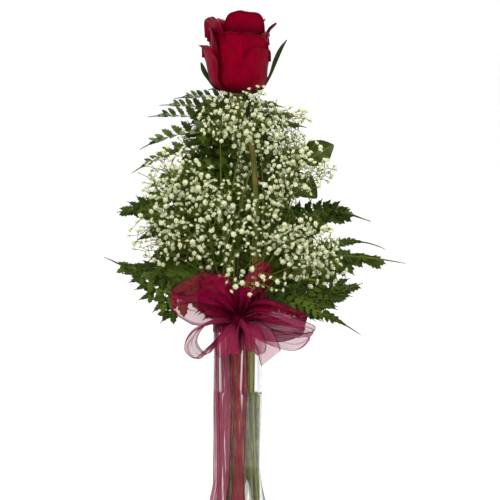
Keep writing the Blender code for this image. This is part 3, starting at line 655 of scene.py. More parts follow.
def petal_place(petal, seed):
    """Where each point of a petal lies.

    Its foot curves out and up like a cup. Above that it stands, and towards the rim it rolls out,
    comes to a point and curls over.
    """
    foot_radius, foot_height, cup_depth = 0.0050, 0.0003, 0.0125
    cup_end, lip_start, curl_start = 0.20, 0.60, 0.90

    def place(u, v):
        off = abs(u)
        top = petal.height * (1 - 0.11 * off ** 3 - 0.12 * off ** 8)
        wave = noise.noise(Vector((3.1 * u + seed, 2.4 * v, 7.7 * seed)))
        ripple = noise.noise(Vector((3.4 * u, seed * 3.7, 1.3)))
        if v < cup_end:
            rise = 0.0
            turn = pi / 2 * v / cup_end
            distance = foot_radius + (petal.radius - foot_radius) * sin(turn)
            z = foot_height + cup_depth * (1 - cos(turn))
        else:
            rise = (v - cup_end) / (1 - cup_end)
            distance = petal.radius
            z = foot_height + cup_depth + (top - foot_height - cup_depth) * rise ** 1.1
        lip = max(0.0, rise - lip_start) / (1 - lip_start)
        curl = max(0.0, (rise - curl_start) / (1 - curl_start))
        distance += petal.lean * rise + petal.twist * u + 0.0009 * wave * (0.15 + 0.85 * rise)
        distance += petal.roll * lip ** 2 * (0.5 + 0.5 * off)
        distance += petal.point * lip ** 2 * max(0.0, 1 - 2.4 * off) ** 1.5
        distance += 0.0011 * (1 - cos(1.9 * curl))
        z += 0.0011 * lip * ripple - 0.0013 * curl ** 2
        narrow = 0.62 + 0.38 * sin(pi / 2 * min(1.0, 0.2 + 1.6 * v))
        angle = radians(petal.azimuth) + radians(petal.spread) * u * narrow * (1 - 0.14 * lip)
        return round_axis(distance, angle, z)

    return place


def heart_petal(index):
    """One of the tightly wound petals at the bloom's centre."""
    share = index / (HEART_PETALS - 1)
    return Petal(137.5 * index, 120 - 30 * share, 0.0022 + 0.0072 * share, 0.0565 + 0.0040 * share,
                 roll=0.0004, twist=0.0016)


def on_bloom(shape):
    """Move a shape from the origin to the bloom's base, with the bloom's lean."""
    bmesh.ops.transform(shape, matrix=BLOOM_PLACE, verts=shape.verts[:])
    return shape


def make_bloom(settings):
    """The cup that bears the petals, the petals, and the dry curled tip beside them."""
    heap = Heap("tone", "inside", "dry")
    draw = random.Random(5)
    heap.take(turned(CUP, 48), tone=0.5)
    every = [*PETALS, *[heart_petal(index) for index in range(HEART_PETALS)]]
    for index, petal in enumerate(every):
        shape = mapped_grid(26, 28, petal_place(petal, 0.37 + 1.618 * index))
        # inner petals are marked for painted shade
        inside = float(petal.radius < INNER_PETALS)
        heap.take(thicken(shape, settings.petal_thickness), tone=draw.random(), inside=inside)
    tip = mapped_grid(6, 30, strap_place(-6, CURLED_TIP, CURLED_TIP_WIDTHS, 0.0))
    heap.take(thicken(tip, settings.petal_thickness * 2), tone=1.0, dry=1.0)
    add_piece("rose_petals", on_bloom(heap.shape), petal_material(settings), "rose_bloom")


# Rose stem, sepals and leaves


ROSE_STEM = [
    (-6.0, 3.0, 9.3), (-0.5, 1.5, 70), (5.6, -0.6, 125), (9.8, -1.7, 185), (12.3, -2.2, 238),
    (13.8, -3.0, 290), (14.2, -3.0, 330), (11.5, -2.0, 365), (4.5, -0.5, 392), (-1.2, 0.0, 406),
]
ROSE_NODES = (0.30, 0.47, 0.655, 0.80)
HIP = [(0.0, -0.0090), (0.0024, -0.0087), (0.0036, -0.0078), (0.0046, -0.0060), (0.0054, -0.0030),
       (0.0053, -0.0012), (0.0046, -0.0003), (0.0, -0.0003)]
SEPAL_WIDTHS = [0.0026, 0.0030, 0.0024, 0.0016, 0.0010, 0.0012, 0.0020, 0.0020, 0.0006]
SEPALS = [
    # azimuth, then the way it lies as (distance, height) in millimetres from the bloom's base
    (-8, [(2, -1.6), (9, -0.9), (14.5, 1.0), (19.2, 3.8), (23.0, 8.5), (26.6, 17), (29.8, 28),
          (33.6, 37.5), (37.6, 44)]),
    (176, [(2, -1.6), (9, -0.9), (14.5, 1.0), (19.0, 3.8), (23, 9), (27, 15.6), (30, 22.5)]),
    (82, [(2, -1.6), (9, -0.9), (14.5, 0.8), (19.5, 3.0), (24.5, 6.5), (29, 12), (31, 19)]),
    (-128, [(2, -2.8), (9, -3.2), (14, -6), (18, -11), (19, -17), (17, -23)]),
    (-62, [(2, -2.8), (9, -3.2), (14, -5), (19, -9), (21, -15), (20, -21)]),
]
ROSE_LEAVES = [
    # route of the stalk in millimetres, then each leaflet: share of the stalk, heading, facing, length, width
    ([(14.2, -3, 322), (26, 4, 334), (42, 7, 346), (53.5, 6, 355.5)],
     [(1.0, (0.70, -0.1, 0.52), (-0.2, -0.9, 0.4), 28, 25),
      (0.66, (0.2, 0.1, 0.95), (0, -0.9, 0.2), 25, 20),
      (0.66, (0.72, -0.2, -0.55), (0.1, -0.9, 0.3), 29, 21),
      (0.36, (-0.15, 0.4, 0.9), (0, -0.9, 0.4), 22, 17),
      (0.36, (0.65, 0.3, -0.6), (0.1, -0.9, 0.4), 24, 17)]),
]


def strap_place(azimuth, stations, widths, twist):
    """Where each point of a narrow strip lies that grows out and up from the bloom's base."""
    outward = round_axis(1.0, radians(azimuth), 0.0)
    side = Vector((-outward.y, outward.x, 0.0))
    route = curve_through([outward * d * 0.001 + Vector((0, 0, z * 0.001)) for d, z in stations], 6)
    spans = curve_through([Vector((width, 0, 0)) for width in widths], 6)

    def place(u, v):
        centre, _ = point_on(route, v)
        width = point_on(spans, v)[0].x
        turn = twist * v * (len(stations) - 1)
        twisted = side * cos(turn) + outward * sin(turn)
        cupped = outward * cos(turn) - side * sin(turn)
        return centre + twisted * width * u - cupped * 0.25 * width * (1 - u * u)

    return place


def leaflet_place(base, heading, facing, length, width):
    """Where each point of a toothed oval leaf lies. It curls back towards its end."""
    side = heading.cross(facing).normalized()
    facing = side.cross(heading).normalized()
    teeth = 13
    curl = 0.18

    def place(u, v):
        off = abs(u)
        full = sin(pi * min(v, 0.9999) ** 0.85) ** 0.8
        bite = 1 - (v * teeth) % 1.0
        rim = full * (1 - 0.09 * bite * off ** 5 * (0.05 < v < 0.97))
        centre = base + heading * length * v - facing * curl * length * v * v
        raised = 0.12 * off + 0.05 * sin(5.5 * v * pi) * off ** 2
        forward = 0.05 * length * full * off
        return centre + side * u * width / 2 * rim + facing * raised * width * full + heading * forward

    return place


def make_rose_stem(settings):
    """The stem with its swollen nodes, the hip under the bloom, the sepals and the leaf."""
    def stem_radius(share):
        bulge = sum(exp(-((share - node) / 0.006) ** 2) for node in ROSE_NODES)
        return settings.stem_radius * (1.0 - 0.06 * share + 0.16 * bulge)

    stalks = [stalk(curve_through(all_mm(ROSE_STEM), 8), stem_radius)]
    leaves = Heap("tone", "leaf")
    draw = random.Random(9)
    for azimuth, stations in SEPALS:
        shape = on_bloom(mapped_grid(6, 36, strap_place(azimuth, stations, SEPAL_WIDTHS, 0.3)))
        leaves.take(thicken(shape, settings.leaf_thickness), tone=-0.35, leaf=1.0)
    for points, leaflets in ROSE_LEAVES:
        route = curve_through(all_mm(points), 6)
        stalks.append(stalk(route, lambda share: 0.0010 - 0.000284 * share))
        for share, heading, facing, length, width in leaflets:
            heading = Vector(heading).normalized()
            base = point_on(route, share)[0] - heading * 0.0008
            size = length * 0.001, width * 0.001
            shape = mapped_grid(10, 52, leaflet_place(base, heading, Vector(facing), *size))
            leaves.take(thicken(shape, settings.leaf_thickness), tone=0.25 + 0.5 * draw.random(), leaf=1.0)
    body = Heap()
    body.take(tubes(stalks, 3))
    body.take(on_bloom(turned(HIP, 24)))
    add_piece("rose_stalk", body.shape, stem_material(settings), "rose_stem")
    rib = settings.leaf_rib
    leaf = leaf_material("rose leaf", settings.leaf_dark, settings.leaf_light, rib, rib, 0.42)
    add_piece("rose_foliage", leaves.shape, leaf, "rose_stem")


# Fern fronds


# turns up and sideways, in degrees, that a leaflet of the solid may have made to keep clear
DODGES = [
    (0, 0), (8, 0), (-8, 0), (0, 10), (0, -10), (16, 0), (-16, 0), (10, 14), (-10, -14), (24, 0), (-24, 0),
]


RIB_STEPS = 8
STEM_LEAVES = 30
# the least length of a lobed and of a toothed pinnule, and the most that a rib may lie off the solid
LOBED_SIZE = 0.0085
TOOTHED_SIZE = 0.0048
MOST_MISS = 0.0025


class Frond(NamedTuple):
    """One frond: its stem's slot in the neck, its route above the lip, and how its leaflets spread.

    Left and right are the leaflets' lengths in millimetres, pair by pair from the foot up. Each of
    tips is a leaflet that has to end at a certain point: its pair, its side, the point, its arch, how
    broad it is and the length of its blade.
    """

    slot: float
    above: list
    left: tuple
    right: tuple
    facing: tuple
    tips: tuple = ()
    first: float = 0.28
    last: float = 0.88
    droop: float = 0.5
    folds: tuple = (6, 6)
    width: float = 0.20
    spread: tuple = (76, 46)
    cup: float = 0.15
    moved: bool = False
    end: float = 0.012
    fillers: tuple = (0.2, 0.4, 0.6, 0.8)
    fine: float = 0.2
    taper: float = 0.6


FRONDS = {
    "fern_frond_tall": Frond(
        106, [(0, 20, 275), (4, 25, 320), (-1, 27, 370), (-8, 26, 420)],
        (84, 96, 95, 86, 75, 62, 47), (88, 81, 73, 65, 57, 47, 35), (0, -1, 0.15),
        ((4.3, -1, (-62, 12, 360), 0.40, 1.1, 16), (4, -1, (-86.4, 18, 347.5), 0.50, 1.15, 18),
         (4.6, -1, (-80, 16, 366.5), 0.46, 1.3, 18), (5, -1, (-73.5, 16, 393), 0.25, 1.25, 18),
         (5.5, -1, (-64, 16, 402.5), 0.16, 1.2, 18), (6, -1, (-52, 18, 408), 0.18, 1.2, 16),
         (6.4, -1, (-25, 18, 415), 0.1, 1.0, 10), (3.4, -1, (-72, 24, 340), 0.40, 1.0, 16),
         (2.6, -1, (-78, 24, 326), 0.40, 1.0, 16), (1.0, 1, (53, 34, 320), 0.3, 1.2, 14),
         (1.6, 1, (59, 32, 333), 0.3, 1.2, 14), (2.2, 1, (61, 31, 344), 0.3, 1.2, 14),
         (2.8, 1, (62, 30, 356), 0.3, 1.2, 14), (3.4, 1, (58, 28, 366), 0.3, 1.2, 14),
         (4.0, 1, (52, 27, 373), 0.3, 1.2, 14), (4.6, 1, (56, 25, 385), 0.3, 1.0, 14),
         (5.1, 1, (51, 24, 393), 0.2, 1.0, 14), (5.6, 1, (38, 22, 401), 0.2, 1.0, 14)),
        first=0.26, last=0.94, folds=(8, 50), droop=0.95, width=0.12, spread=(62, 62), cup=0.6, end=0.006,
        fillers=(0.15, 0.4, 0.6, 0.85), fine=0.45),
    "fern_frond_left": Frond(
        157, [(-26, 10, 268), (-52, 16, 300), (-76, 17, 318), (-98, 14, 316)],
        (40, 34, 16, 9, 5), (38, 32, 26, 12, 6), (0, -1, 0.4),
        ((1.3, 1, (-73, 16, 335), 0.1, 1.1, 12), (2.0, 1, (-83, 16, 330), 0.1, 1.1, 12),
         (2.7, 1, (-90, 15, 325), 0.1, 1.0, 12))),
    "fern_frond_low_left": Frond(
        182, [(-30, 3, 262), (-60, 4, 271), (-86, 2, 271), (-107, -3, 280)],
        (38, 30, 22, 7, 3), (34, 24, 12, 8, 4), (0, -1, 0.4),
        ((-0.3, -1, (-62, -14, 227.2), 0.0, 1.5, 14), (0.3, -1, (-68.5, -12, 235.6), -0.1, 1.5, 14),
         (0.8, -1, (-80, -8, 245.6), -0.25, 1.5, 16), (1.4, -1, (-83, -8, 253.6), -0.2, 1.5, 15),
         (2.0, -1, (-87.5, -6, 259.6), -0.15, 1.4, 12), (2.7, -1, (-93, -6, 266.4), -0.1, 1.0, 12)),
        last=0.80, moved=True, spread=(60, 40), end=0.026),
    "fern_frond_right": Frond(
        55, [(26, 26, 276), (50, 36, 304), (80, 35, 317), (108, 30, 309)],
        (34, 28, 22, 18, 15, 8), (34, 30, 23, 12, 5, 3), (0, -1, 0.5),
        ((0.6, -1, (42, 26, 319), 0.1, 1.0, 12), (1.5, -1, (50.5, 28, 327), 0.1, 1.0, 12),
         (2.2, -1, (60, 30, 327.5), 0.15, 1.0, 12), (2.8, -1, (69, 31, 328), 0.15, 1.0, 12),
         (3.4, -1, (76, 31, 327), 0.2, 1.0, 11), (4.0, -1, (84, 31, 326), 0.2, 1.0, 11),
         (4.6, -1, (90.5, 31, 320.5), 0.2, 1.0, 11), (1.6, 1, (70, 32, 299), 0.1, 1.1, 12),
         (2.3, 1, (78, 32, 301.5), 0.1, 1.1, 12)),
        last=0.80, width=0.24, end=0.028, taper=0.75),
    "fern_frond_low_right": Frond(
        30, [(34, 14, 264), (62, 20, 279), (92, 22, 280.5), (116, 21, 278), (135.6, 19, 274.8)],
        (38, 32, 14, 9, 6, 4), (44, 36, 24, 9, 5, 4), (0, -1, 0.4),
        ((0.7, -1, (120, 24, 285.8), 0.66, 0.42, 40), (1.7, 1, (88, 20, 263), 0.0, 1.7, 12),
         (2.2, 1, (95, 20, 264.5), 0.0, 1.7, 12)),
        last=0.74, width=0.22, moved=True, end=0.036, taper=0.75),
    "fern_frond_front_right": Frond(
        309, [(24, -5, 247), (52, 0, 245), (78, 3, 251), (100, 4, 259)],
        (34, 27, 19, 8), (40, 34, 17, 6), (0, -1, 0.6),
        ((-0.4, 1, (98.4, -10, 217.6), 0.28, 0.55, 34), (0.9, -1, (76, 4, 262.5), 0.2, 1.0, 12),
         (1.7, -1, (90, 4, 263), 0.2, 1.0, 12), (0.6, 1, (77.6, -8, 238.4), 0.1, 0.9, 14),
         (1.2, 1, (84, -6, 245.6), 0.1, 1.0, 12)),
        droop=0.2, spread=(34, 30), taper=0.7),
    "fern_frond_back": Frond(
        131, [(-16, 36, 272), (-26, 62, 308), (-30, 84, 335), (-32, 98, 345)],
        (45, 38, 31, 21, 7), (45, 38, 31, 21, 7), (0, -0.75, 0.65)),
}


class Rib(NamedTuple):
    """The midrib of a leaflet: it sets out one way and ends another."""

    root: Vector
    start: Vector
    end: Vector
    facing: Vector
    length: float

    def at(self, s):
        return self.root + self.length * (s * self.start + s * s / 2 * (self.end - self.start))

    def axes(self, s):
        """Along, across and up at a share s of the rib."""
        along = (self.start + s * (self.end - self.start)).normalized()
        side = along.cross(self.facing).normalized()
        return along, side, side.cross(along)


def drooping_rib(root, start, facing, length, droop):
    """A rib that sets out along start and bends down on its way."""
    return Rib(root, start, (start + Vector((0, 0, -droop))).normalized(), facing, length)


def arched_rib(root, tip, arch, cup):
    """A rib from root to tip that rises over the straight line between them, or sags under it."""
    chord = tip - root
    rise = Vector((0, 0, arch * chord.length))
    facing = Vector((0, -1, 0.2 + 1.6 * cup)).normalized()
    return Rib(root, (chord + rise) / chord.length, (chord - rise) / chord.length, facing, chord.length)


def fitted_rib(surface, root, start, facing, length, droop):
    """The leaflet's rib as the solid has it: the small turn whose rib lies nearest to the solid."""
    side = start.cross(facing)
    tried = []
    for rise, turn in DODGES:
        bent = Matrix.Rotation(radians(rise), 3, side) @ Matrix.Rotation(radians(turn), 3, facing) @ start
        rib = drooping_rib(root, bent, facing, length, droop)
        miss = max(surface.find_nearest(rib.at(s))[3] for s in (0.45, 0.75, 0.98))
        tried.append((miss, rib))
    miss, rib = min(tried, key=lambda each: each[0])
    return rib if miss < MOST_MISS else None


def pinnule_mesh(name, teeth, lobe, half_width):
    """A small leaf from the origin along +X, one unit long, with a toothed or lobed edge."""
    rows = 2 * teeth

    def place(u, v):
        off = abs(u)
        full = sin(pi * min(0.12 + 0.88 * v, 0.99) ** 0.80) ** 0.80
        notch = round(v * rows) % 2
        half = half_width * full * (1 - lobe * notch * off)
        lead = 0.10 * (1 - notch) * off * (v < 0.99)
        return Vector((v * 0.94 + lead * full, half * u, 0.06 * off * full - 0.14 * v * v))

    return as_mesh(name, thicken(mapped_grid(2, rows, place), 0.022))


def tip_blade(rib, begin, half, fine):
    """The outer part of a leaflet, from a share begin of its rib: a saw-edged blade with a fine end."""
    rows = 2 * min(max(round((1 - begin) * rib.length / 0.0026), 3), 9)

    def place(u, v):
        off = abs(u)
        s = begin + (1 - begin) * v
        ahead, side, up = rib.axes(s)
        notch = round(v * rows) % 2
        broad = half * max(0.0, 1 - v / (1 - fine)) ** 0.65
        lead = 0.7 * broad * (1 - notch) * off
        broad = broad * (1 - 0.4 * notch) + 0.0008 * (1 - v) ** 0.5 + 0.00005
        return rib.at(s) + ahead * lead + side * u * broad + up * off * 0.25 * broad

    return thicken(mapped_grid(2, rows, place), 0.0003)


def leaf_matrix(place, way, up, size, roll=0.0):
    """What puts a unit leaf at a place, heading one way with its face up, and rolled about its own length."""
    across = up.cross(way).normalized()
    turn = Matrix.Rotation(roll, 3, way)
    axes = Matrix((way, turn @ across, turn @ way.cross(across))).transposed()
    return Matrix.Translation(place) @ (axes @ Matrix.Scale(size, 3)).to_4x4()


class FrondShape:
    """A frond in the making: its leaves, and the stem and midribs that bear them."""

    def __init__(self, frond, settings, meshes, draw):
        self.frond = frond
        self.settings = settings
        self.meshes = meshes
        self.draw = draw
        above = all_mm(frond.above)
        self.route = stem_route(frond.slot, above, 2)
        self.smooth = stem_route(frond.slot, above, 8)
        self.facing = Vector(frond.facing).normalized()
        self.stalks = [stalk(self.smooth, lambda share: STEM_RADIUS * 0.92 - 0.0007 * share ** 2)]
        self.heap = Heap("tone", "leaf")

    def root(self, pair, turn):
        """Where a leaflet grows from, which way the frond runs there, and how far up the frond it is."""
        frond = self.frond
        q = pair / (len(frond.left) - 1)
        later = 0.3 / len(frond.left) if turn > 0 else 0
        root, along = point_on(self.route[1:], frond.first + (frond.last - frond.first) * (q + later))
        return root, along, q

    def starts(self, first, last, folding):
        """Where each leaflet grows from, its direction, the frond's facing there, its length, pair and side.

        The pairs are counted from first to last. A part of a pair stands between two others, and a pair
        below zero is near the frond's foot. Folding is the share of the frond's own fold that they take.
        """
        frond = self.frond
        for step in range(int(last - first) + 1):
            pair = first + step
            for turn, lengths, fold in ((-1, frond.left, frond.folds[0]), (1, frond.right, frond.folds[1])):
                root, along, q = self.root(pair, turn)
                side = along.cross(self.facing).normalized()
                facing = side.cross(along).normalized()
                folded = Matrix.Rotation(-turn * radians(fold * folding), 3, along)
                spread = radians(frond.spread[0] + (frond.spread[1] - frond.spread[0]) * q)
                start = along * cos(spread) + (folded @ side) * turn * sin(spread)
                index = min(max(int(pair), 0), len(lengths) - 2)
                share = min(max(pair - index, 0), 1)
                length = lengths[index] + (lengths[index + 1] - lengths[index]) * share
                length *= 0.001 * (1 - 0.15 * max(0, -pair))
                yield root, start, folded @ facing, length, pair, turn

    def add_leaflet(self, rib, breadth, blade, lift=-0.15, fine=0.2):
        """Pinnules in turn along a rib, longest at its root, that run into a saw-edged blade at its end.

        Breadth is beside the frond's own, blade is the blade's length, lift raises the pinnules, and fine
        is the share of the blade that is its thin end.
        """
        draw = self.draw
        ribs = [rib.at(step / RIB_STEPS) for step in range(RIB_STEPS + 1)]
        self.stalks.append(stalk(ribs, lambda share: 0.00045 - 0.00030 * share))
        reach = (rib.length * self.frond.width + 0.002) * breadth
        begin = max(0.06, 1 - blade / rib.length)
        s = 0.02 + 0.0015 / rib.length
        turn = 1
        while s < begin + 0.3 * (1 - begin):
            along, side, up = rib.axes(s)
            size = max(reach * (1 - s) ** self.frond.taper, 0.0040) * draw.uniform(0.90, 1.10)
            lean = radians(62 - 26 * s)
            raised = lift + draw.uniform(-0.12, 0.12)
            way = (along * cos(lean) + side * turn * sin(lean) + up * raised).normalized()
            place = leaf_matrix(rib.at(s), way, up, size, radians(draw.uniform(-16, 16)))
            mesh = self.meshes[0 if size > LOBED_SIZE else 1 if size > TOOTHED_SIZE else 2]
            self.heap.add(mesh, place, tone=min(1.0, max(0.0, draw.gauss(0.42, 0.24))), leaf=1.0)
            s += self.settings.pinnule_gap * size / 2 / rib.length
            turn = -turn
        end = tip_blade(rib, begin, min(0.0030, 0.18 * rib.length), max(fine, 1 - 0.020 / blade))
        self.heap.take(end, tone=draw.uniform(0.0, 0.3), leaf=1.0)

    def add_solid_leaflets(self, surface):
        """The long leaflets of the solid frond, but for those that have a set end."""
        frond = self.frond
        for root, start, facing, length, pair, turn in self.starts(0, len(frond.left) - 1, 1.0):
            if any(turn == side and abs(pair - at) < 0.3 for at, side, *_ in frond.tips):
                continue
            if frond.moved:
                rib = drooping_rib(root, start, facing, length, frond.droop)
            else:
                rib = fitted_rib(surface, root, start, facing, length, frond.droop)
            if rib:
                self.add_leaflet(rib, 1.25, 0.016)

    def add_set_leaflets(self):
        """The leaflets that have to end at a certain point."""
        frond = self.frond
        for pair, turn, tip, arch, breadth, blade in frond.tips:
            cup, lift = (frond.cup, frond.cup) if turn < 0 else (0.15, -0.15)
            rib = arched_rib(self.root(pair, turn)[0], mm(*tip), arch, cup)
            self.add_leaflet(rib, 1.3 * breadth, blade * 0.001, lift, frond.fine)

    def add_short_leaflets(self):
        """Shorter leaflets between the long ones, each turned a little its own way."""
        frond, draw = self.frond, self.draw
        for shift in frond.fillers:
            for root, start, facing, length, *_ in self.starts(shift - 2, len(frond.left) - 2 + shift, 0.4):
                turn = Matrix.Rotation(radians(draw.uniform(-10, 10)), 3, facing)
                tilt = Matrix.Rotation(radians(draw.uniform(-24, 24)), 3, start.cross(facing))
                short = min(length * self.settings.filler_length, self.settings.filler_limit)
                rib = drooping_rib(root, turn @ tilt @ start, facing, short, frond.droop)
                self.add_leaflet(rib, 1.4, 0.014)

    def add_stem_leaves(self):
        """Single leaves up the frond's own stem, and the blade at its end."""
        frond, draw, facing = self.frond, self.draw, self.facing
        lowest = 0.12
        for step in range(STEM_LEAVES):
            share = step / STEM_LEAVES
            root, along = point_on(self.route[1:], lowest + (frond.last - lowest) * share)
            way = (along + along.cross(facing) * draw.uniform(-0.7, 0.7) - facing * 0.25).normalized()
            size = (frond.width * 90 - 4 * share) * 0.001 * draw.uniform(0.7, 1.0)
            place = leaf_matrix(root - facing * 0.0022, way, facing, size)
            self.heap.add(self.meshes[0], place, tone=draw.uniform(0.1, 0.5), leaf=1.0)
        end, ahead = point_on(self.smooth, 1.0)
        rib = Rib(end - ahead * frond.end, ahead, ahead, facing, frond.end)
        self.heap.take(tip_blade(rib, 0.0, 0.0012, 0.6), tone=0.0, leaf=1.0)


def make_fern(settings):
    """Each frond over its solid's stem, from leaflets of small toothed leaves."""
    greens = settings.dark, settings.light, settings.rib, settings.stalk
    material = leaf_material("leatherleaf fern", *greens, 0.38)
    meshes = [pinnule_mesh("lobed", 4, 0.30, 0.32), pinnule_mesh("toothed", 4, 0.24, 0.33),
              pinnule_mesh("small", 2, 0.15, 0.36)]
    seen = bpy.context.evaluated_depsgraph_get()
    for index, (name, frond) in enumerate(FRONDS.items()):
        made = FrondShape(frond, settings, meshes, random.Random(100 + index))
        made.add_solid_leaflets(BVHTree.FromObject(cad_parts[name], seen))
        made.add_set_leaflets()
        made.add_short_leaflets()
        made.add_stem_leaves()
        made.heap.take(tubes(made.stalks))
        add_piece(name.replace("fern_frond", "leatherleaf"), made.heap.shape, material, name)
    for mesh in meshes:
        bpy.data.meshes.remove(mesh)


# Baby's breath


INNER_RING = 0.0093
FLORET_SPACING = 0.0046
# the product of a lobe's radii in millimetres that holds the full number of florets
FULL_SPRAY = 40000
MOST_TRIES = 60000
BUD_RADII = (0.0008, 0.0013)


class Spray(NamedTuple):
    """A spray of baby's breath: its main stem's slot in the neck and route, and the lobes its florets fill.

    Each lobe may have a thin stem of its own, which stands in a slot of the inner ring.
    """

    seed: int
    slot: float
    above: list
    lobes: list
    inner_slots: list


SPRAYS = {
    "babys_breath_top": Spray(
        11, 233, [(-5, -14, 285), (6, -14, 335), (14, -12, 360)],
        [((36, -10, 389.5), (24, 16, 13)), ((-14, -14, 388), (24, 14, 16)), ((18, -20, 376), (26, 14, 16)),
         ((8, -16, 400), (26, 12, 12)), ((14, 10, 350), (24, 10, 18)), ((16, -25, 409), (11, 4, 8)),
         ((-4, -16, 402), (26, 8, 9)), ((51, -8, 393), (8, 8, 7)),
         ((46, -10, 373), (10, 8, 8)), ((-2, -33, 384), (26, 7, 15))],
        [1, 240, 9, 218, 300]),
    "babys_breath_left": Spray(
        23, 207, [(-24, -13, 262), (-36, -18, 284), (-42, -20, 298)],
        [((-49, -20, 342), (30, 18, 27)), ((-54, -22, 299), (33, 18, 26)), ((-22, -24, 326), (18, 10, 20))],
        [178, 194, 205]),
    "babys_breath_front": Spray(
        37, 258, [(-3, -20, 256), (-3, -27, 270), (-3, -31, 282)],
        [((-6, -34, 314), (22, 14, 26)), ((13, -43, 262), (29, 8, 12)), ((-16, -26, 282), (22, 8, 14)),
         ((15, -33, 293), (14, 8, 15))],
        [228, 246]),
    "babys_breath_right": Spray(
        41, 284, [(12, -19, 258), (26, -24, 278), (34, -25, 296)],
        [((48, -22, 352), (26, 20, 26)), ((52, -28, 288), (34, 18, 23)), ((24, -24, 322), (13, 12, 19)),
         ((62, -20, 270), (26, 10, 14)), ((70, -12, 349), (8, 7, 9)),
         ((50, -36, 288), (27, 10, 17)), ((36, -22, 326), (12, 8, 7)), ((54, -45, 293), (26, 7, 19))],
        [30, 340, 17, 325]),
    "babys_breath_back": Spray(
        53, 81, [(2, 30, 268), (1, 42, 292), (0, 48, 310)],
        [((20, 58, 352), (34, 18, 36)), ((-24, 55, 375), (28, 14, 24))], [44, 72]),
}


def whorl(shape, petals, radius, foot, depth, dip, lift):
    """A closed cup of petals whose rim goes out to a tip and in to a notch for each petal."""
    made = bmesh.ops.create_cone(shape, cap_ends=True, cap_tris=True, segments=2 * petals,
                                 radius1=foot, radius2=radius, depth=depth)
    for vertex in made["verts"]:
        if vertex.co.z > 0:
            corner = atan2(vertex.co.y, vertex.co.x) / (2 * pi) * 2 * petals
            if vertex.co.xy.length < 1e-4:
                vertex.co.z -= dip
            elif round(corner) % 2:
                vertex.co.xy *= 0.72
                vertex.co.z -= depth * 0.22
        vertex.co.z += lift


def floret_meshes():
    """An open double floret, its calyx and a closed bud. Each faces +Z and is about one unit in radius."""
    floret, calyx, bud = bmesh.new(), bmesh.new(), bmesh.new()
    whorl(floret, 6, 1.0, 0.16, 0.62, 0.42, 0.32)
    whorl(floret, 4, 0.56, 0.10, 0.50, 0.30, 0.62)
    bmesh.ops.create_cone(calyx, cap_ends=True, cap_tris=False, segments=5,
                          radius1=0.12, radius2=0.36, depth=0.7)
    bmesh.ops.translate(calyx, vec=(0, 0, -0.05), verts=calyx.verts[:])
    bmesh.ops.create_icosphere(bud, subdivisions=1, radius=1.0)
    bmesh.ops.translate(bud, vec=(0, 0, 0.7), verts=bud.verts[:])
    return as_mesh("floret", floret), as_mesh("calyx", calyx), as_mesh("bud", bud)


def scatter(draw, spread):
    """A random short way in any direction."""
    return Vector([draw.gauss(0, spread) for _ in range(3)])


def floret_places(draw, lobes, count):
    """Evenly spread places in ellipsoid lobes of (centre, radii) in millimetres."""
    places = []
    tries = 0
    while len(places) < count and tries < MOST_TRIES:
        tries += 1
        centre, radii = lobes[tries % len(lobes)]
        way = scatter(draw, 1).normalized() * draw.random() ** 0.45
        place = mm(*[c + r * w for c, r, w in zip(centre, radii, way)])
        if all((place - other).length > FLORET_SPACING for other in places):
            places.append(place)
    return places


def halves(targets):
    """Split targets in two along their longest spread."""
    centre = mean(targets)
    far = max(targets, key=lambda target: (target - centre).length)
    ordered = sorted(targets, key=lambda target: (target - centre).dot(far - centre))
    middle = len(ordered) // 2
    return ordered[:middle], ordered[middle:]


def grow(start, targets, stalks, tips, draw):
    """Fork a stalk towards its florets again and again, until each floret has its own."""
    radius = 0.00020 + 0.00005 * sqrt(len(targets))
    if len(targets) == 1:
        tip = targets[0]
        bow = Vector((draw.uniform(-1, 1), draw.uniform(-1, 1), draw.uniform(0.0, 1.0))) * 0.06
        middle = start.lerp(tip, 0.5) + bow * (tip - start).length
        stalks.append(([start, middle, tip], [radius] * 3))
        tips.append((tip, (tip - middle).normalized()))
        return
    run = mean(targets) - start
    fork = start + run * draw.uniform(0.42, 0.58)
    middle = start.lerp(fork, 0.5) + Vector((0, 0, 0.07)) * run.length
    stalks.append(([start, middle, fork], [radius, radius, radius * 0.9]))
    for group in halves(targets):
        grow(fork, group, stalks, tips, draw)


def lobe_stem(slot, lobe):
    """The route of a thin stem from the vase's inner ring up to a lobe of florets."""
    angle = radians(slot)
    centre, radii = lobe
    bow = 0.004
    tip = mm(*centre) - mm(0, 0, radii[2] * 0.6)
    above_lip = round_axis(0.0150, angle, LIP_HEIGHT + 0.020)
    middle = above_lip.lerp(tip, 0.5) + round_axis(bow, angle, bow)
    # the slots on the right are in the outer ring
    ring = STEM_RING if cos(angle) > 0.93 else INNER_RING
    return stem_route(slot, [above_lip, middle, tip], 6, ring)


def spray_stalks(spray, places, draw):
    """All the stalks of a spray, and the place and way of each floret at their tips."""
    route = stem_route(spray.slot, all_mm(spray.above), 6)
    stalks = [stalk(route, lambda share: STEM_RADIUS * 0.9 - 0.0005 * share)]
    roots = [point_on(route, share)[0] for share in (1.0, 0.93, 0.86, 0.78)]
    for slot, lobe in zip(spray.inner_slots, spray.lobes):
        inner = lobe_stem(slot, lobe)
        stalks.append(stalk(inner, lambda share: 0.0012 - 0.0008 * share))
        roots.append(inner[-1])
    tips = []
    for group in [part for half in halves(places) for part in halves(half)]:
        centre = mean(group)
        root = min(roots, key=lambda place: (place - centre).length)
        grow(root, group, stalks, tips, draw)
    return stalks, tips


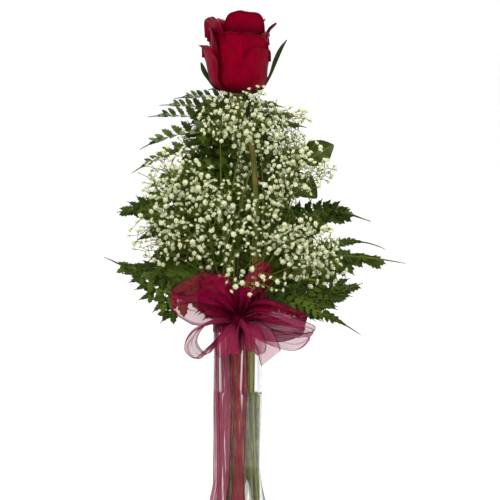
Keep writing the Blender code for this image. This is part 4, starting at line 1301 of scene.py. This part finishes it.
def make_babys_breath(settings):
    """Each spray's forked stalks, with an open floret or a bud at every tip."""
    material = floret_material(settings)
    floret, calyx, bud = floret_meshes()
    for name, spray in SPRAYS.items():
        draw = random.Random(spray.seed)
        volume = sum(a * b * c for _, (a, b, c) in spray.lobes)
        places = floret_places(draw, spray.lobes, int(settings.florets * volume / FULL_SPRAY))
        stalks, tips = spray_stalks(spray, places, draw)
        heap = Heap("petal")
        for tip, way in tips:
            faced = (way + Vector((0, -0.25, 0.35)) + scatter(draw, 0.25)).normalized()
            turn = faced.to_track_quat("Z", "Y").to_matrix().to_4x4()
            spin = Matrix.Rotation(draw.uniform(0, 2 * pi), 4, "Z")
            closed = draw.random() < settings.bud_share
            radius = draw.uniform(*BUD_RADII) if closed else settings.floret_radius * draw.uniform(0.82, 1.15)
            place = Matrix.Translation(tip) @ turn @ spin @ Matrix.Scale(radius, 4)
            if closed:
                heap.add(bud, place, petal=0.8)
            else:
                heap.add(floret, place, petal=1.0)
                heap.add(calyx, place)
        heap.take(tubes(stalks))
        add_piece(name.replace("babys_breath", "gypsophila"), heap.shape, material, name)
    for mesh in (floret, calyx, bud):
        bpy.data.meshes.remove(mesh)


# Ribbon


BOW_LOOPS = [
    # name, points out from the knot, points back to it, the ribbon's width along its sides and at its
    # tip, depth of its pleats, how gathered (denser, painted shade), how pale (painted sheen): lengths in
    # millimetres
    ("upper_left", [(-9, -33, 250), (-29, -38, 256)], [(-52, -31, 247), (-38, -24, 239), (-15, -24, 237)],
     (3, -8, 30), (0, -24, 16), 1.4, 0.05, 0.0),
    ("lower_left", [(-17, -36, 230), (-30, -38, 224.5)],
     [(-37, -35, 211), (-28.5, -33, 202.5), (-19, -31, 211)],
     (9, 20, 4), (10, 20, 4), 0.7, 0.0, 0.4),
    ("right", [(18, -37, 234), (40, -41, 227)], [(58, -34, 221), (46, -29, 213), (19, -27, 219)],
     (-3, -8, 18), (4, -22, 9), 1.6, 0.0, 0.60),
    ("centre_left", [(-3, -37, 226), (-7, -46, 220)], [(-8, -48, 211), (-6, -41, 204), (-1, -33, 213)],
     (15, 2, 2), (18, 0, 4), 0.9, 0.05, 0.30),
    ("centre_right", [(6, -37, 228), (11, -46, 223)], [(14, -48, 214), (11, -41, 207), (6, -33, 217)],
     (14, 2, -3), (17, 0, -6), 1.0, 0.08, 0.25),
    ("crown", [(2, -37, 244), (4, -42, 254)], [(13, -38, 253), (13, -31, 244), (6, -27, 237)],
     (18, -6, -8), (22, -10, -4), 1.2, 0.30, 0.0),
    ("upright", [(6, -36, 249), (11, -40, 263)], [(20, -37, 275), (21, -31, 263), (10, -26, 248)],
     (12, -8, -5), (10, -11, -3), 1.0, 0.10, 0.0),
    ("inner_left", [(-3, -37, 246), (-14, -42, 257)], [(-31, -37, 252), (-23, -29, 244), (-8, -26, 238)],
     (5, -5, 24), (2, -14, 17), 1.6, 0.30, 0.0),
    ("inner_right", [(12, -39, 239), (32, -45, 236)], [(53, -39, 228), (36, -30, 223), (11, -27, 225)],
     (-3, -6, 20), (3, -14, 14), 1.8, 0.55, 0.0),
]
BOW_END = [(13, -37, 226), (22, -44, 214), (27, -47, 198)]
BOW_END_WIDTH = (17, 4, 5)
TAILS = [
    # name, angle round the neck, height of its cut end, width, how pale (a painted milky sheen)
    ("left", -130, 0.058, 0.0155, 0.85),
    ("front", -89, 0.050, 0.0148, 0.20),
    ("side", -147, 0.074, 0.0105, 0.90),
]


class Organza:
    """The ribbon that the bow, the band and the tails are all cut from."""

    def __init__(self, settings):
        self.thickness = settings.thickness
        self.material = organza_material(settings)

    def cut(self, name, node, place, columns, rows, flat, held, gathers, pale=0.0, closed=False):
        """A strip from place(u, v). Gathers gives how bunched it is there."""
        shape = mapped_grid(columns, rows, place)
        gathered = shape.verts.layers.float.new("gathered")
        painted_sheen = shape.verts.layers.float.new("pale")
        uv = shape.loops.layers.uv.active
        for vertex in shape.verts:
            across, v = vertex.link_loops[0][uv].uv
            # gathered makes the ribbon denser and, as painted shade, darker
            vertex[gathered] = min(1.0, gathers(2 * across - 1, v))
            # pale paints a milky sheen
            vertex[painted_sheen] = pale
        if closed:
            bmesh.ops.remove_doubles(shape, verts=shape.verts[:], dist=1e-5)
        piece = add_piece(name, thicken(shape, self.thickness), self.material, node)


def route_length(route):
    """The length along a route's points."""
    return sum((after - before).length for before, after in zip(route, route[1:]))


def loop_place(route, side_width, tip_width, fold, gather, seed):
    """Where each point of a bow's loop lies, and how gathered it is there. It is pleated near the knot."""
    def spread(v):
        return 0.3 + 0.7 * between(0.0, 0.33, min(v, 1 - v))

    def pleat(u, v):
        wander = 0.35 * noise.noise(Vector((seed, 3.0 * v, 0.5)))
        return sin(2.6 * pi * (u + wander) + seed)

    def gathers(u, v):
        valley = 0.5 - 0.5 * pleat(u, v)
        # the pleats' valleys count as more gathered, so shade is painted into them
        return gather + (1 - spread(v)) * 1.1 + 0.35 * valley * (1.25 - spread(v))

    def place(u, v):
        near = min(v, 1 - v)
        centre, ahead = point_on(route, v)
        wide = side_width.lerp(tip_width, between(0.2, 0.5, near)) / 2
        normal = ahead.cross(wide).normalized()
        depth = fold * (2.0 - spread(v)) * (1 - 0.75 * between(0.25, 0.5, near))
        ripple = 0.0022 * noise.noise(Vector((2.6 * u, 4.0 * v, seed)))
        return centre + wide * spread(v) * u + normal * (depth * pleat(u, v) + ripple)

    return place, gathers


def make_bow(organza):
    """The bow's loops, its short end and its knot."""
    for index, (name, out, back, side_width, tip_width, fold, gather, pale) in enumerate(BOW_LOOPS):
        route = curve_through([KNOT, *all_mm(out), *all_mm(back), KNOT + mm(0, 2, 0)], 14)
        widths = all_mm([side_width, tip_width])
        place, gathers = loop_place(route, *widths, fold * 0.001, gather, 1.7 * index + 0.4)
        flat = (max(width.length for width in widths), route_length(route))
        organza.cut("bow_loop_" + name, "ribbon_bow", place, 22, 84, flat, "gathered", gathers, pale)
    route = curve_through([KNOT, *all_mm(BOW_END)], 14)
    wide = mm(*BOW_END_WIDTH) / 2

    def end_place(u, v):
        cut_aslant = 0.14 * (u + 1) / 2 * between(0.4, 1.0, v)
        centre, ahead = point_on(route, v * (1 - cut_aslant))
        normal = ahead.cross(wide).normalized()
        pleat = 0.0010 * sin(3 * pi * u + 1.0)
        return centre + wide * u * (0.25 + 0.75 * between(0.0, 0.55, v)) + normal * pleat

    def knot_place(u, v):
        turn = 2 * pi * v
        wander = noise.noise(Vector((3 * u, 2 * sin(turn), cos(turn))))
        radius = (1 + 0.10 * sin(4 * pi * u + 0.6) + 0.05 * wander) * (1 + 0.22 * u * u)
        return KNOT + Vector((0.0056 * u + 0.0010 * sin(turn), -0.0062 * sin(turn) * radius,
                              0.0080 * cos(turn) * radius))

    flat = 2 * wide.length, route_length(route)
    organza.cut("bow_short_end", "ribbon_bow", end_place, 20, 48, flat, "hung",
                lambda u, v: 1 - 0.86 * between(0.0, 0.5, v), 0.75)
    organza.cut("bow_knot", "ribbon_bow", knot_place, 18, 40, (0.0125, 0.0460), "gathered",
                lambda u, v: 0.9, closed=True)


def tail_place(index, angle, bottom, width):
    """Where each point of a tail lies that hangs down the glass, and how creased it is there."""
    def fold(u, v):
        return sin(3.2 * pi * u + 5 * v + 2 * index)

    def place(u, v):
        z = TIE_HEIGHT + (bottom - TIE_HEIGHT) * v * (1 - 0.05 * (1 - abs(u)) * between(0.7, 1.0, v))
        sway = 0.06 * sin(3.1 * v + index) * between(0.0, 0.3, v)
        turn = radians(angle) + sway + u * width / 2 / TIE_RADIUS * (0.8 + 0.2 * sin(4.4 * v + 2 * index))
        distance = max(NECK_RADIUS, vase_radius(z)) + 0.0013 + 0.0007 * fold(u, v)
        return round_axis(distance, turn, z)

    # how creased it is counts as gathered: denser, and darker as painted shade
    return place, lambda u, v: 0.02 + 0.50 * max(0.0, fold(u, v)) ** 4


def make_tie(organza):
    """The band round the neck and the tails that hang from it."""
    def band_place(u, v):
        turn = 2 * pi * v
        wander = noise.noise(Vector((2 * cos(turn), 2 * sin(turn), 2 * u)))
        crease = 0.00022 * sin(3 * pi * u) + 0.00015 * wander
        return round_axis(TIE_RADIUS + crease, turn, TIE_HEIGHT + u * TIE_WIDTH / 2)

    organza.cut("neck_band", "ribbon_tie", band_place, 12, 96, (TIE_WIDTH, 2 * pi * TIE_RADIUS), "stretched",
                lambda u, v: 0.75, closed=True)
    for index, (name, angle, bottom, width, pale) in enumerate(TAILS):
        place, creased = tail_place(index, angle, bottom, width)
        flat = (width * 1.25, TIE_HEIGHT - bottom)
        organza.cut("ribbon_tail_" + name, "ribbon_tie", place, 26, 110, flat, "hung", creased, pale)


# Settings


def colour_setting(name, description, default):
    return FloatVectorProperty(name=name, description=description, default=default, subtype="COLOR",
                               size=3, min=0.0, max=1.0)


def length_setting(name, description, default):
    return FloatProperty(name=name, description=description, default=default, min=0.0, unit="LENGTH",
                         precision=5)


def share_setting(name, description, default, least=0.0):
    return FloatProperty(name=name, description=description, default=default, min=least, max=1.0,
                         subtype="FACTOR")


def count_setting(name, description, default):
    return IntProperty(name=name, description=description, default=default, min=10)


class VaseSettings(bpy.types.PropertyGroup):
    glass_tint: colour_setting("Glass Tint", "Colour of the glass", (0.985, 0.992, 0.988))
    # painted shade that the glass takes where it is seen edge-on
    glass_edge_shade: colour_setting("Glass Edge", "Colour of the glass seen edge-on", (0.42, 0.44, 0.44))
    water_tint: colour_setting("Water Tint", "Colour of the water", (0.985, 0.995, 0.99))
    sides: count_setting("Sides", "Steps round the vase", 96)
    rows: count_setting("Rows", "Rows up each wall", 70)


class RoseSettings(bpy.types.PropertyGroup):
    petal_colour: colour_setting("Petal Colour", "Main colour of the petals", (0.225, 0.0, 0.0105))
    petal_shade: colour_setting("Petal Shade", "Deeper colour of the petals", (0.130, 0.0, 0.006))
    petal_light: colour_setting("Petal Light", "Colour of the veins", (0.40, 0.004, 0.035))
    rim_colour: colour_setting("Rim Colour", "Dark colour of the petals' rims", (0.040, 0.0, 0.004))
    petal_thickness: length_setting("Petal Thickness", "Thickness of a petal", 0.0006)
    stem_radius: length_setting("Stem Radius", "Radius of the rose's stem", 0.0023)
    stem_colour: colour_setting("Stem Colour", "Green of the stem", (0.115, 0.135, 0.022))
    stem_tan: colour_setting("Stem Tan", "Tan that the stem drifts to", (0.30, 0.175, 0.065))
    stem_dark: colour_setting("Stem Streaks", "Dark fibres on the stem", (0.050, 0.055, 0.010))
    leaf_thickness: length_setting("Leaf Thickness", "Thickness of a leaf", 0.0004)
    leaf_dark: colour_setting("Leaf Dark", "Dark green of the leaves", (0.012, 0.022, 0.004))
    leaf_light: colour_setting("Leaf Light", "Light green of the leaves", (0.042, 0.060, 0.010))
    leaf_rib: colour_setting("Leaf Ribs", "Colour of the midribs", (0.13, 0.16, 0.045))


class FernSettings(bpy.types.PropertyGroup):
    dark: colour_setting("Dark", "Dark green of the fern", (0.012, 0.027, 0.002))
    light: colour_setting("Light", "Light green of the fern", (0.070, 0.110, 0.009))
    # painted light: the stalks take this paler colour only down in the vase
    stalk: colour_setting("Stalks", "Colour of the stalks in the vase", (0.27, 0.26, 0.020))
    rib: colour_setting("Midribs", "Colour of midribs among the leaves", (0.11, 0.125, 0.020))
    pinnule_gap: FloatProperty(name="Pinnule Gap", default=0.68, min=0.1,
                               description="Distance between pinnules as a share of their length")
    filler_length: share_setting("Short Leaflets", "Length of short leaflets beside long ones", 0.74, 0.1)
    filler_limit: length_setting("Short Leaflet Limit", "The most that a short leaflet reaches", 0.072)


class BreathSettings(bpy.types.PropertyGroup):
    petal_colour: colour_setting("Petal Colour", "Cream of the florets", (0.76, 0.78, 0.50))
    petal_shade: colour_setting("Petal Shade", "Shade of the florets", (0.59, 0.63, 0.31))
    stalk_colour: colour_setting("Stalk Colour", "Green of the stalks", (0.31, 0.30, 0.030))
    # also the painted shade of the stalks among the leaves
    stalk_dark_and_shade: colour_setting("Stalk Dark", "Darker green of the stalks", (0.08, 0.10, 0.015))
    florets: count_setting("Florets", "Florets in a full spray", 400)
    floret_radius: length_setting("Floret Radius", "Radius of an open floret", 0.0024)
    bud_share: share_setting("Buds", "Share of florets still closed", 0.12)


class RibbonSettings(bpy.types.PropertyGroup):
    colour: colour_setting("Colour", "Colour of the organza", (0.275, 0.0, 0.032))
    light: colour_setting("Light", "Lighter colour of the organza", (0.350, 0.003, 0.056))
    # painted milky sheen, as light scattered in the fabric
    painted_sheen_colour: colour_setting("Pale Colour", "Milky colour over the glass", (0.46, 0.085, 0.180))
    # painted shade where the ribbon is gathered
    gathered_shade_colour: colour_setting("Gathered Colour", "Colour where it is gathered", (0.080, 0.0, 0.008))
    edge_colour: colour_setting("Edge", "Colour of the edge threads", (0.050, 0.004, 0.018))
    thickness: length_setting("Thickness", "Thickness of the ribbon", 0.0003)
    sheerness: share_setting("Cover", "How much one face of flat ribbon covers", 0.30)
    threads: FloatProperty(name="Threads", description="Threads across the ribbon", default=50.0, min=1)


class StageSettings(bpy.types.PropertyGroup):
    floor_colour: colour_setting("Floor", "Colour of the floor", (0.68, 0.68, 0.68))
    distance: length_setting("Camera Distance", "Distance of the camera from the vase's axis", 1.6)
    view_width: length_setting("View Width", "Width in view at the vase's axis", 0.400)


# Stage


VIEW_MIDDLE = Vector((0.0096, 0.0, 0.2856))
LIGHTS = [
    # name, place, what it is turned to, size, power
    ("key", (-1.1, -1.5, 1.5), VIEW_MIDDLE, 1.0, 27.0),
    ("fill", (1.4, -1.2, 0.9), VIEW_MIDDLE, 1.2, 14.0),
    ("back", (0.3, 1.1, 1.6), VIEW_MIDDLE, 1.0, 10.0),
    ("backdrop", (0.0, 0.9, 3.2), (0.0, 2.6, 0.9), 2.0, 98.0),
]


def make_floor(material):
    """A floor that bends up into a backdrop."""
    front, back, half_width, top, bend = -3.0, 2.0, 4.0, 4.0, 0.6
    turns = levels(0.0, pi / 2, 12)
    line = [(front, 0.0)]
    line += [(back + bend * sin(turn), bend * (1 - cos(turn))) for turn in turns]
    line.append((back + bend, top))
    shape = bmesh.new()
    corners = [shape.verts.new((-half_width, y, z)) for y, z in line]
    edges = [shape.edges.new(pair) for pair in zip(corners, corners[1:])]
    made = bmesh.ops.extrude_edge_only(shape, edges=edges)
    moved = [item for item in made["geom"] if isinstance(item, bmesh.types.BMVert)]
    bmesh.ops.translate(shape, vec=(2 * half_width, 0, 0), verts=moved)
    bmesh.ops.recalc_face_normals(shape, faces=shape.faces[:])
    mesh = as_mesh("floor", shape)
    mesh.materials.append(material)
    mesh.shade_smooth()
    floor_sheet = bpy.data.objects.new("floor", mesh)
    bpy.context.scene.collection.objects.link(floor_sheet)


def add_light(name, place, target, size, power):
    """A round soft light that is turned to a target."""
    light = bpy.data.lights.new(name, "AREA")
    light.shape = "DISK"
    light.size = size
    light.energy = power
    lamp = bpy.data.objects.new(name, light)
    lamp.location = place
    lamp.rotation_euler = (Vector(target) - Vector(place)).to_track_quat("-Z", "Y").to_euler()
    bpy.context.scene.collection.objects.link(lamp)


def add_camera(distance, view_width):
    """A level camera in front of the flowers."""
    camera = bpy.data.cameras.new("camera")
    camera.sensor_width = 36.0
    camera.lens = camera.sensor_width * distance / view_width
    viewer = bpy.data.objects.new("camera", camera)
    viewer.location = VIEW_MIDDLE + Vector((0, -distance, 0))
    viewer.rotation_euler = (radians(90), 0, 0)
    bpy.context.scene.collection.objects.link(viewer)
    bpy.context.scene.camera = viewer


# Operators


class ROSEVASE_OT_vase(bpy.types.Operator):
    """Turn the glass bud vase and the water in it"""

    bl_idname = "rose_vase.vase"
    bl_label = "Glass and Water"

    def execute(self, context):
        make_vase(context.scene.rose_vase)
        make_water(context.scene.rose_vase)
        return {"FINISHED"}


class ROSEVASE_OT_bloom(bpy.types.Operator):
    """Shape the rose's petals"""

    bl_idname = "rose_vase.bloom"
    bl_label = "Rose Bloom"

    def execute(self, context):
        make_bloom(context.scene.rose_flower)
        return {"FINISHED"}


class ROSEVASE_OT_stem(bpy.types.Operator):
    """Grow the rose's stem, hip, sepals and leaves"""

    bl_idname = "rose_vase.stem"
    bl_label = "Rose Stem and Leaves"

    def execute(self, context):
        make_rose_stem(context.scene.rose_flower)
        return {"FINISHED"}


class ROSEVASE_OT_fern(bpy.types.Operator):
    """Grow the fern fronds with their small leaves"""

    bl_idname = "rose_vase.fern"
    bl_label = "Fern Fronds"

    def execute(self, context):
        make_fern(context.scene.rose_fern)
        return {"FINISHED"}


class ROSEVASE_OT_breath(bpy.types.Operator):
    """Grow the sprays of baby's breath"""

    bl_idname = "rose_vase.breath"
    bl_label = "Baby's Breath"

    def execute(self, context):
        make_babys_breath(context.scene.rose_breath)
        return {"FINISHED"}


class ROSEVASE_OT_ribbon(bpy.types.Operator):
    """Tie the organza bow round the neck"""

    bl_idname = "rose_vase.ribbon"
    bl_label = "Organza Bow"

    def execute(self, context):
        organza = Organza(context.scene.rose_ribbon)
        make_tie(organza)
        make_bow(organza)
        return {"FINISHED"}


class ROSEVASE_OT_stage(bpy.types.Operator):
    """Set the pale floor, the soft lights and the camera"""

    bl_idname = "rose_vase.stage"
    bl_label = "Stage"

    def execute(self, context):
        scene = context.scene
        settings = scene.rose_stage
        make_floor(floor_material(settings.floor_colour))
        add_camera(settings.distance, settings.view_width)
        for light in LIGHTS:
            add_light(*light)
        world = bpy.data.worlds.new("soft white")
        world.use_nodes = True
        background = world.node_tree.nodes["Background"]
        background.inputs["Color"].default_value = (1.0, 1.0, 1.0, 1.0)
        background.inputs["Strength"].default_value = 0.58
        scene.world = world
        scene.view_settings.view_transform = "Standard"
        scene.cycles.transparent_max_bounces = 32
        return {"FINISHED"}


class ROSEVASE_PT_panel(bpy.types.Panel):
    """Lists the pieces in the order they are made"""

    bl_idname = "ROSEVASE_PT_panel"
    bl_label = "Rose in a Bud Vase"
    bl_space_type = "VIEW_3D"
    bl_region_type = "UI"
    bl_category = "Rose"

    def draw(self, context):
        for group, (_, *operators) in GROUPS.items():
            box = self.layout.box()
            for operator in operators:
                box.operator(operator.bl_idname)
            settings = getattr(context.scene, group)
            for name in settings.__annotations__:
                box.prop(settings, name)


GROUPS = {
    # where the settings are kept in the scene: their class, then the operators that use them
    "rose_vase": (VaseSettings, ROSEVASE_OT_vase),
    "rose_flower": (RoseSettings, ROSEVASE_OT_bloom, ROSEVASE_OT_stem),
    "rose_fern": (FernSettings, ROSEVASE_OT_fern),
    "rose_breath": (BreathSettings, ROSEVASE_OT_breath),
    "rose_ribbon": (RibbonSettings, ROSEVASE_OT_ribbon),
    "rose_stage": (StageSettings, ROSEVASE_OT_stage),
}
CLASSES = [*[each for group in GROUPS.values() for each in group], ROSEVASE_PT_panel]


def register():
    for each in CLASSES:
        bpy.utils.register_class(each)
    for name, (settings, *_) in GROUPS.items():
        setattr(bpy.types.Scene, name, PointerProperty(type=settings))


def unregister():
    for name in GROUPS:
        delattr(bpy.types.Scene, name)
    for each in reversed(CLASSES):
        bpy.utils.unregister_class(each)


def main():
    """Make every piece in order."""
    register()
    bpy.ops.rose_vase.stage()
    bpy.ops.rose_vase.vase()
    bpy.ops.rose_vase.bloom()
    bpy.ops.rose_vase.stem()
    bpy.ops.rose_vase.fern()
    bpy.ops.rose_vase.breath()
    bpy.ops.rose_vase.ribbon()


if __name__ == "__main__":
    main()
